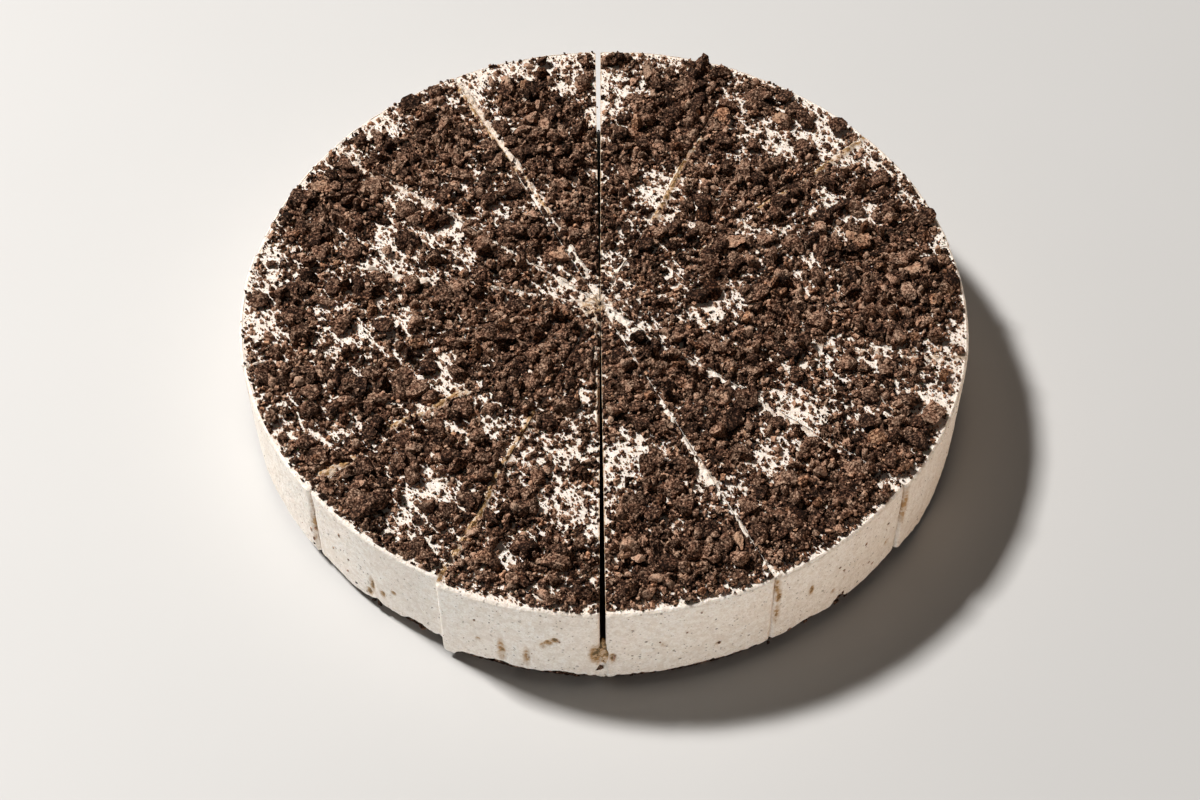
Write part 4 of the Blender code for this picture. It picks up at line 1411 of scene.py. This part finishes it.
# Crumbs that can be told apart in the side: angle, depth under the top, width, height
SIDE_CRUMBS = (
    (136.9, 13.8, 1.9, 1.9), (131.6, 14.5, 1.2, 1.1), (141.3, 19.5, 1.1, 1.0), (142.3, 16.0, 1.1, 1.0),
    (135.4, 28.5, 1.2, 1.0), (134.4, 31.5, 1.4, 1.1), (199.3, 14.0, 0.9, 1.4), (224.6, 12.2, 1.1, 2.8),
    (223.2, 23.5, 1.1, 0.9), (226.8, 24.5, 0.9, 0.9), (223.9, 32.0, 1.0, 1.0), (222.2, 36.0, 1.2, 0.9),
    (230.9, 22.5, 1.2, 1.2), (232.3, 27.0, 1.3, 3.6), (232.0, 31.5, 1.0, 2.8), (232.2, 35.0, 1.0, 1.0),
    (178.7, 27.0, 1.0, 4.0), (166.0, 5.0, 0.8, 0.7), (168.0, 15.5, 0.8, 0.8), (172.0, 19.0, 0.8, 0.7),
    (162.9, 27.5, 1.3, 1.0), (180.8, 33.5, 2.8, 2.6), (140.7, 35.0, 2.6, 3.2), (140.0, 38.8, 1.6, 2.2),
    (141.9, 39.0, 2.6, 1.6), (209.4, 38.6, 2.8, 2.2), (217.5, 38.8, 1.8, 3.0), (218.6, 38.8, 2.0, 1.8),
    (151.0, 37.2, 1.6, 1.4), (154.6, 39.5, 1.4, 1.8), (197.0, 37.5, 1.8, 1.3), (193.2, 38.0, 4.0, 2.2),
)


def side_reach(angle):
    """How far out the cream's side stands at an angle."""
    for wedge in range(WEDGES):
        share = ((angle - cut_angle(wedge)) % 360.0) / wedge_angle(wedge)
        if share < 1.0:
            break
    stand_out, after = RIM_OFFSETS[wedge]
    return CAKE_RADIUS + stand_out + (after - stand_out) * share


def side_spot(angle, level, inset, size, rng, darkest):
    """A crumb at an angle and a level, its middle so far inside the side: a spot for crumbs_at."""
    place = plan_direction(angle) * (side_reach(angle) - inset)
    turns = (0.0, 0.0, math.radians(-angle))
    kind = rng.randrange(FINE_SHAPES)
    tone = rng.uniform(darkest, darkest + TONE_RANGE)
    return (place.x, place.y, level), size, turns, kind, tone, 0.0


rng = random.Random(SIDE_SEED)
side_spots = []
for angle, under, width, height in SIDE_CRUMBS:
    size = (width, 0.7 * width, height)
    darkest = FILMED_TONE if under < LOW_SIDE else DARK_TONE
    side_spots.append(side_spot(angle, CREAM_TOP - under, SIDE_CRUMB_SUNK * width, size, rng, darkest))
for _ in range(FLECK_NUMBER):
    size = FLECK_SIZES[0] + (FLECK_SIZES[1] - FLECK_SIZES[0]) * rng.random() ** FLECK_BIAS
    level = rng.uniform(CRUST_HEIGHT + FLECKS_FROM, CREAM_TOP - RIM_ROUND)
    inset = size / 2 + FLECK_SUNK
    size = (size, size, size * 0.8)
    side_spots.append(side_spot(rng.uniform(0.0, 360.0), level, inset, size, rng, FLECK_TONE))
fleck_shapes = crumb_shapes("fleck_shape", (FINE_SHAPES, 1, 0, 0.0))
crumbs_at("side_flecks", side_spots, fleck_shapes, Grit=0.8, Depth=0.1)

foot_spots = []
while len(foot_spots) < FOOT_CRUMB_NUMBER:
    angle = rng.uniform(0.0, 360.0)
    if noise.noise(Vector((angle * 0.12, 0.0, 0.0))) < rng.uniform(-0.5, 0.3):
        continue
    size = FOOT_CRUMB_SIZES[0] + (FOOT_CRUMB_SIZES[1] - FOOT_CRUMB_SIZES[0]) * rng.random() ** 2
    level = rng.uniform(size / 2, CRUST_HEIGHT)
    inset = CRUST_RECESS - rng.uniform(-0.1, 0.3) * size
    foot_spots.append(side_spot(angle, level, inset, (size, size * 0.8, size * 0.8), rng, DARK_TONE))
foot_shapes = crumb_shapes("foot_shape", (FINE_SHAPES, 2, 6, 0.0))
crumbs_at("foot_crumbs", foot_spots, foot_shapes, Grit=0.9, Depth=0.25)


# The bridged cut. The open cut stops short of the foot at the front, where the cream has closed over again
# in a soft stained lump, with a smaller stain above it.
BRIDGE_FACE = -130.4  # the lumps are pressed flat with the side here

# Each one's name, middle and half sizes, how brown it is half way up, and how much browner at its top
BRIDGES = (
    ("cut_bridge", (-1.4, -127.7, 9.0), (3.9, 2.3, 6.0), -0.3, 0.9),
    ("cut_stain", (-0.4, -128.2, 19.5), (2.2, 2.4, 6.4), 1.2, 0.5),
)

for name, middle, halves, brown, rise in BRIDGES:
    blob = bmesh.new()
    bmesh.ops.create_icosphere(blob, subdivisions=5, radius=1.0)
    brown_share = []
    for vert in blob.verts:
        bump = 1.0 + 0.35 * noise.noise(vert.co * 1.6) + 0.12 * noise.noise(vert.co * 5.0)
        brown_share.append(max(0.0, brown + rise * vert.co.z))
        vert.co = Vector((middle[axis] + vert.co[axis] * halves[axis] * bump for axis in range(3)))
        vert.co.y = max(vert.co.y, BRIDGE_FACE - 0.1 * bump)
        vert.co *= MM
    bridge_mesh = bpy.data.meshes.new(name)
    blob.to_mesh(bridge_mesh)
    blob.free()
    bridge_mesh.shade_smooth()
    set_values(bridge_mesh, "brown", brown_share)
    bridge_mesh.materials.append(cream)
    bridge = bpy.data.objects.new(name, bridge_mesh)
    bpy.context.scene.collection.objects.link(bridge)
    placed(bridge, "cream", "filling_07", "filling_08")


# The studio: a plain pale floor, a soft key light from the upper left, and the camera, which looks down on
# the cake from in front at the photograph's angle.
FLOOR_SIZE = 3.0
STRIP_SIZE = (1.7, 0.035)  # the low strips light only the side, from beyond the floor
CAMERA_DISTANCE = 5.8768 * CAKE_RADIUS * MM
CAMERA_LENS = 63.883

# The camera's angles, in radians
CAMERA_ELEVATION = 0.878863
CAMERA_YAW = 0.0017926
CAMERA_PITCH = -0.0449755
CAMERA_ROLL = -0.00511


def floor_finish():
    """Matt and pale, with faint clouds."""
    material, tree, shader, here = new_material("pale_floor", 0.6)
    cloud = noise_at(tree, here, 180.0, 3.0)
    tree.links.new(blended(tree, cloud, (0.57, 0.568, 0.563, 1.0), (0.60, 0.598, 0.595, 1.0)),
                   shader.inputs["Base Color"])
    return material


floor_mesh = bpy.data.meshes.new("floor")
half = FLOOR_SIZE / 2
floor_corners = [(-half, -half, 0.0), (half, -half, 0.0), (half, half, 0.0), (-half, half, 0.0)]
floor_mesh.from_pydata(floor_corners, [], [(0, 1, 2, 3)])
floor_mesh.materials.append(floor_finish())
floor = bpy.data.objects.new("floor", floor_mesh)
bpy.context.scene.collection.objects.link(floor)


def soft_light(name, place, width, height, power, colour):
    """A soft box, its height upright, that looks at the middle of the cake's top."""
    lamp = bpy.data.lights.new(name, "AREA")
    lamp.shape = "RECTANGLE"
    lamp.size = width
    lamp.size_y = height
    lamp.energy = power
    lamp.color = colour
    holder = bpy.data.objects.new(name, lamp)
    holder.location = place
    towards = Vector((0.0, 0.0, CREAM_TOP * MM)) - Vector(place)
    holder.rotation_euler = towards.to_track_quat("-Z", "Y").to_euler()
    holder.visible_camera = False
    bpy.context.scene.collection.objects.link(holder)


soft_light("key_light", (-1.668, 0.963, 2.556), 0.42, 0.42, 150.0, (1.0, 0.97, 0.935))
soft_light("front_strip", (-0.999, -1.960, 0.022), *STRIP_SIZE, 17.0, (0.93, 0.98, 1.0))
soft_light("warm_strip", (2.040, -0.824, 0.022), *STRIP_SIZE, 17.0, (1.0, 0.77, 0.57))
world = bpy.data.worlds.new("studio")
world.use_nodes = True
background = world.node_tree.nodes["Background"]
background.inputs["Color"].default_value = (1.0, 0.95, 0.89, 1.0)
background.inputs["Strength"].default_value = 0.07
bpy.context.scene.world = world
bpy.context.scene.view_settings.view_transform = "Standard"

camera = bpy.data.objects.new("camera", bpy.data.cameras.new("camera"))
bpy.context.scene.collection.objects.link(camera)
camera.data.lens = CAMERA_LENS
camera.data.sensor_width = 36.0
backward = Vector((0.0, -math.cos(CAMERA_ELEVATION), math.sin(CAMERA_ELEVATION)))
upward = Vector((0.0, math.sin(CAMERA_ELEVATION), math.cos(CAMERA_ELEVATION)))
aim = Matrix((Vector((1.0, 0.0, 0.0)), upward, backward)).transposed().to_4x4()
turn = Matrix.Rotation(CAMERA_YAW, 4, "Y") @ Matrix.Rotation(CAMERA_PITCH, 4, "X")
stand = Vector((0.0, 0.0, CREAM_TOP * MM)) + backward * CAMERA_DISTANCE
camera.matrix_world = Matrix.Translation(stand) @ aim @ turn @ Matrix.Rotation(CAMERA_ROLL, 4, "Z")
bpy.context.scene.camera = camera
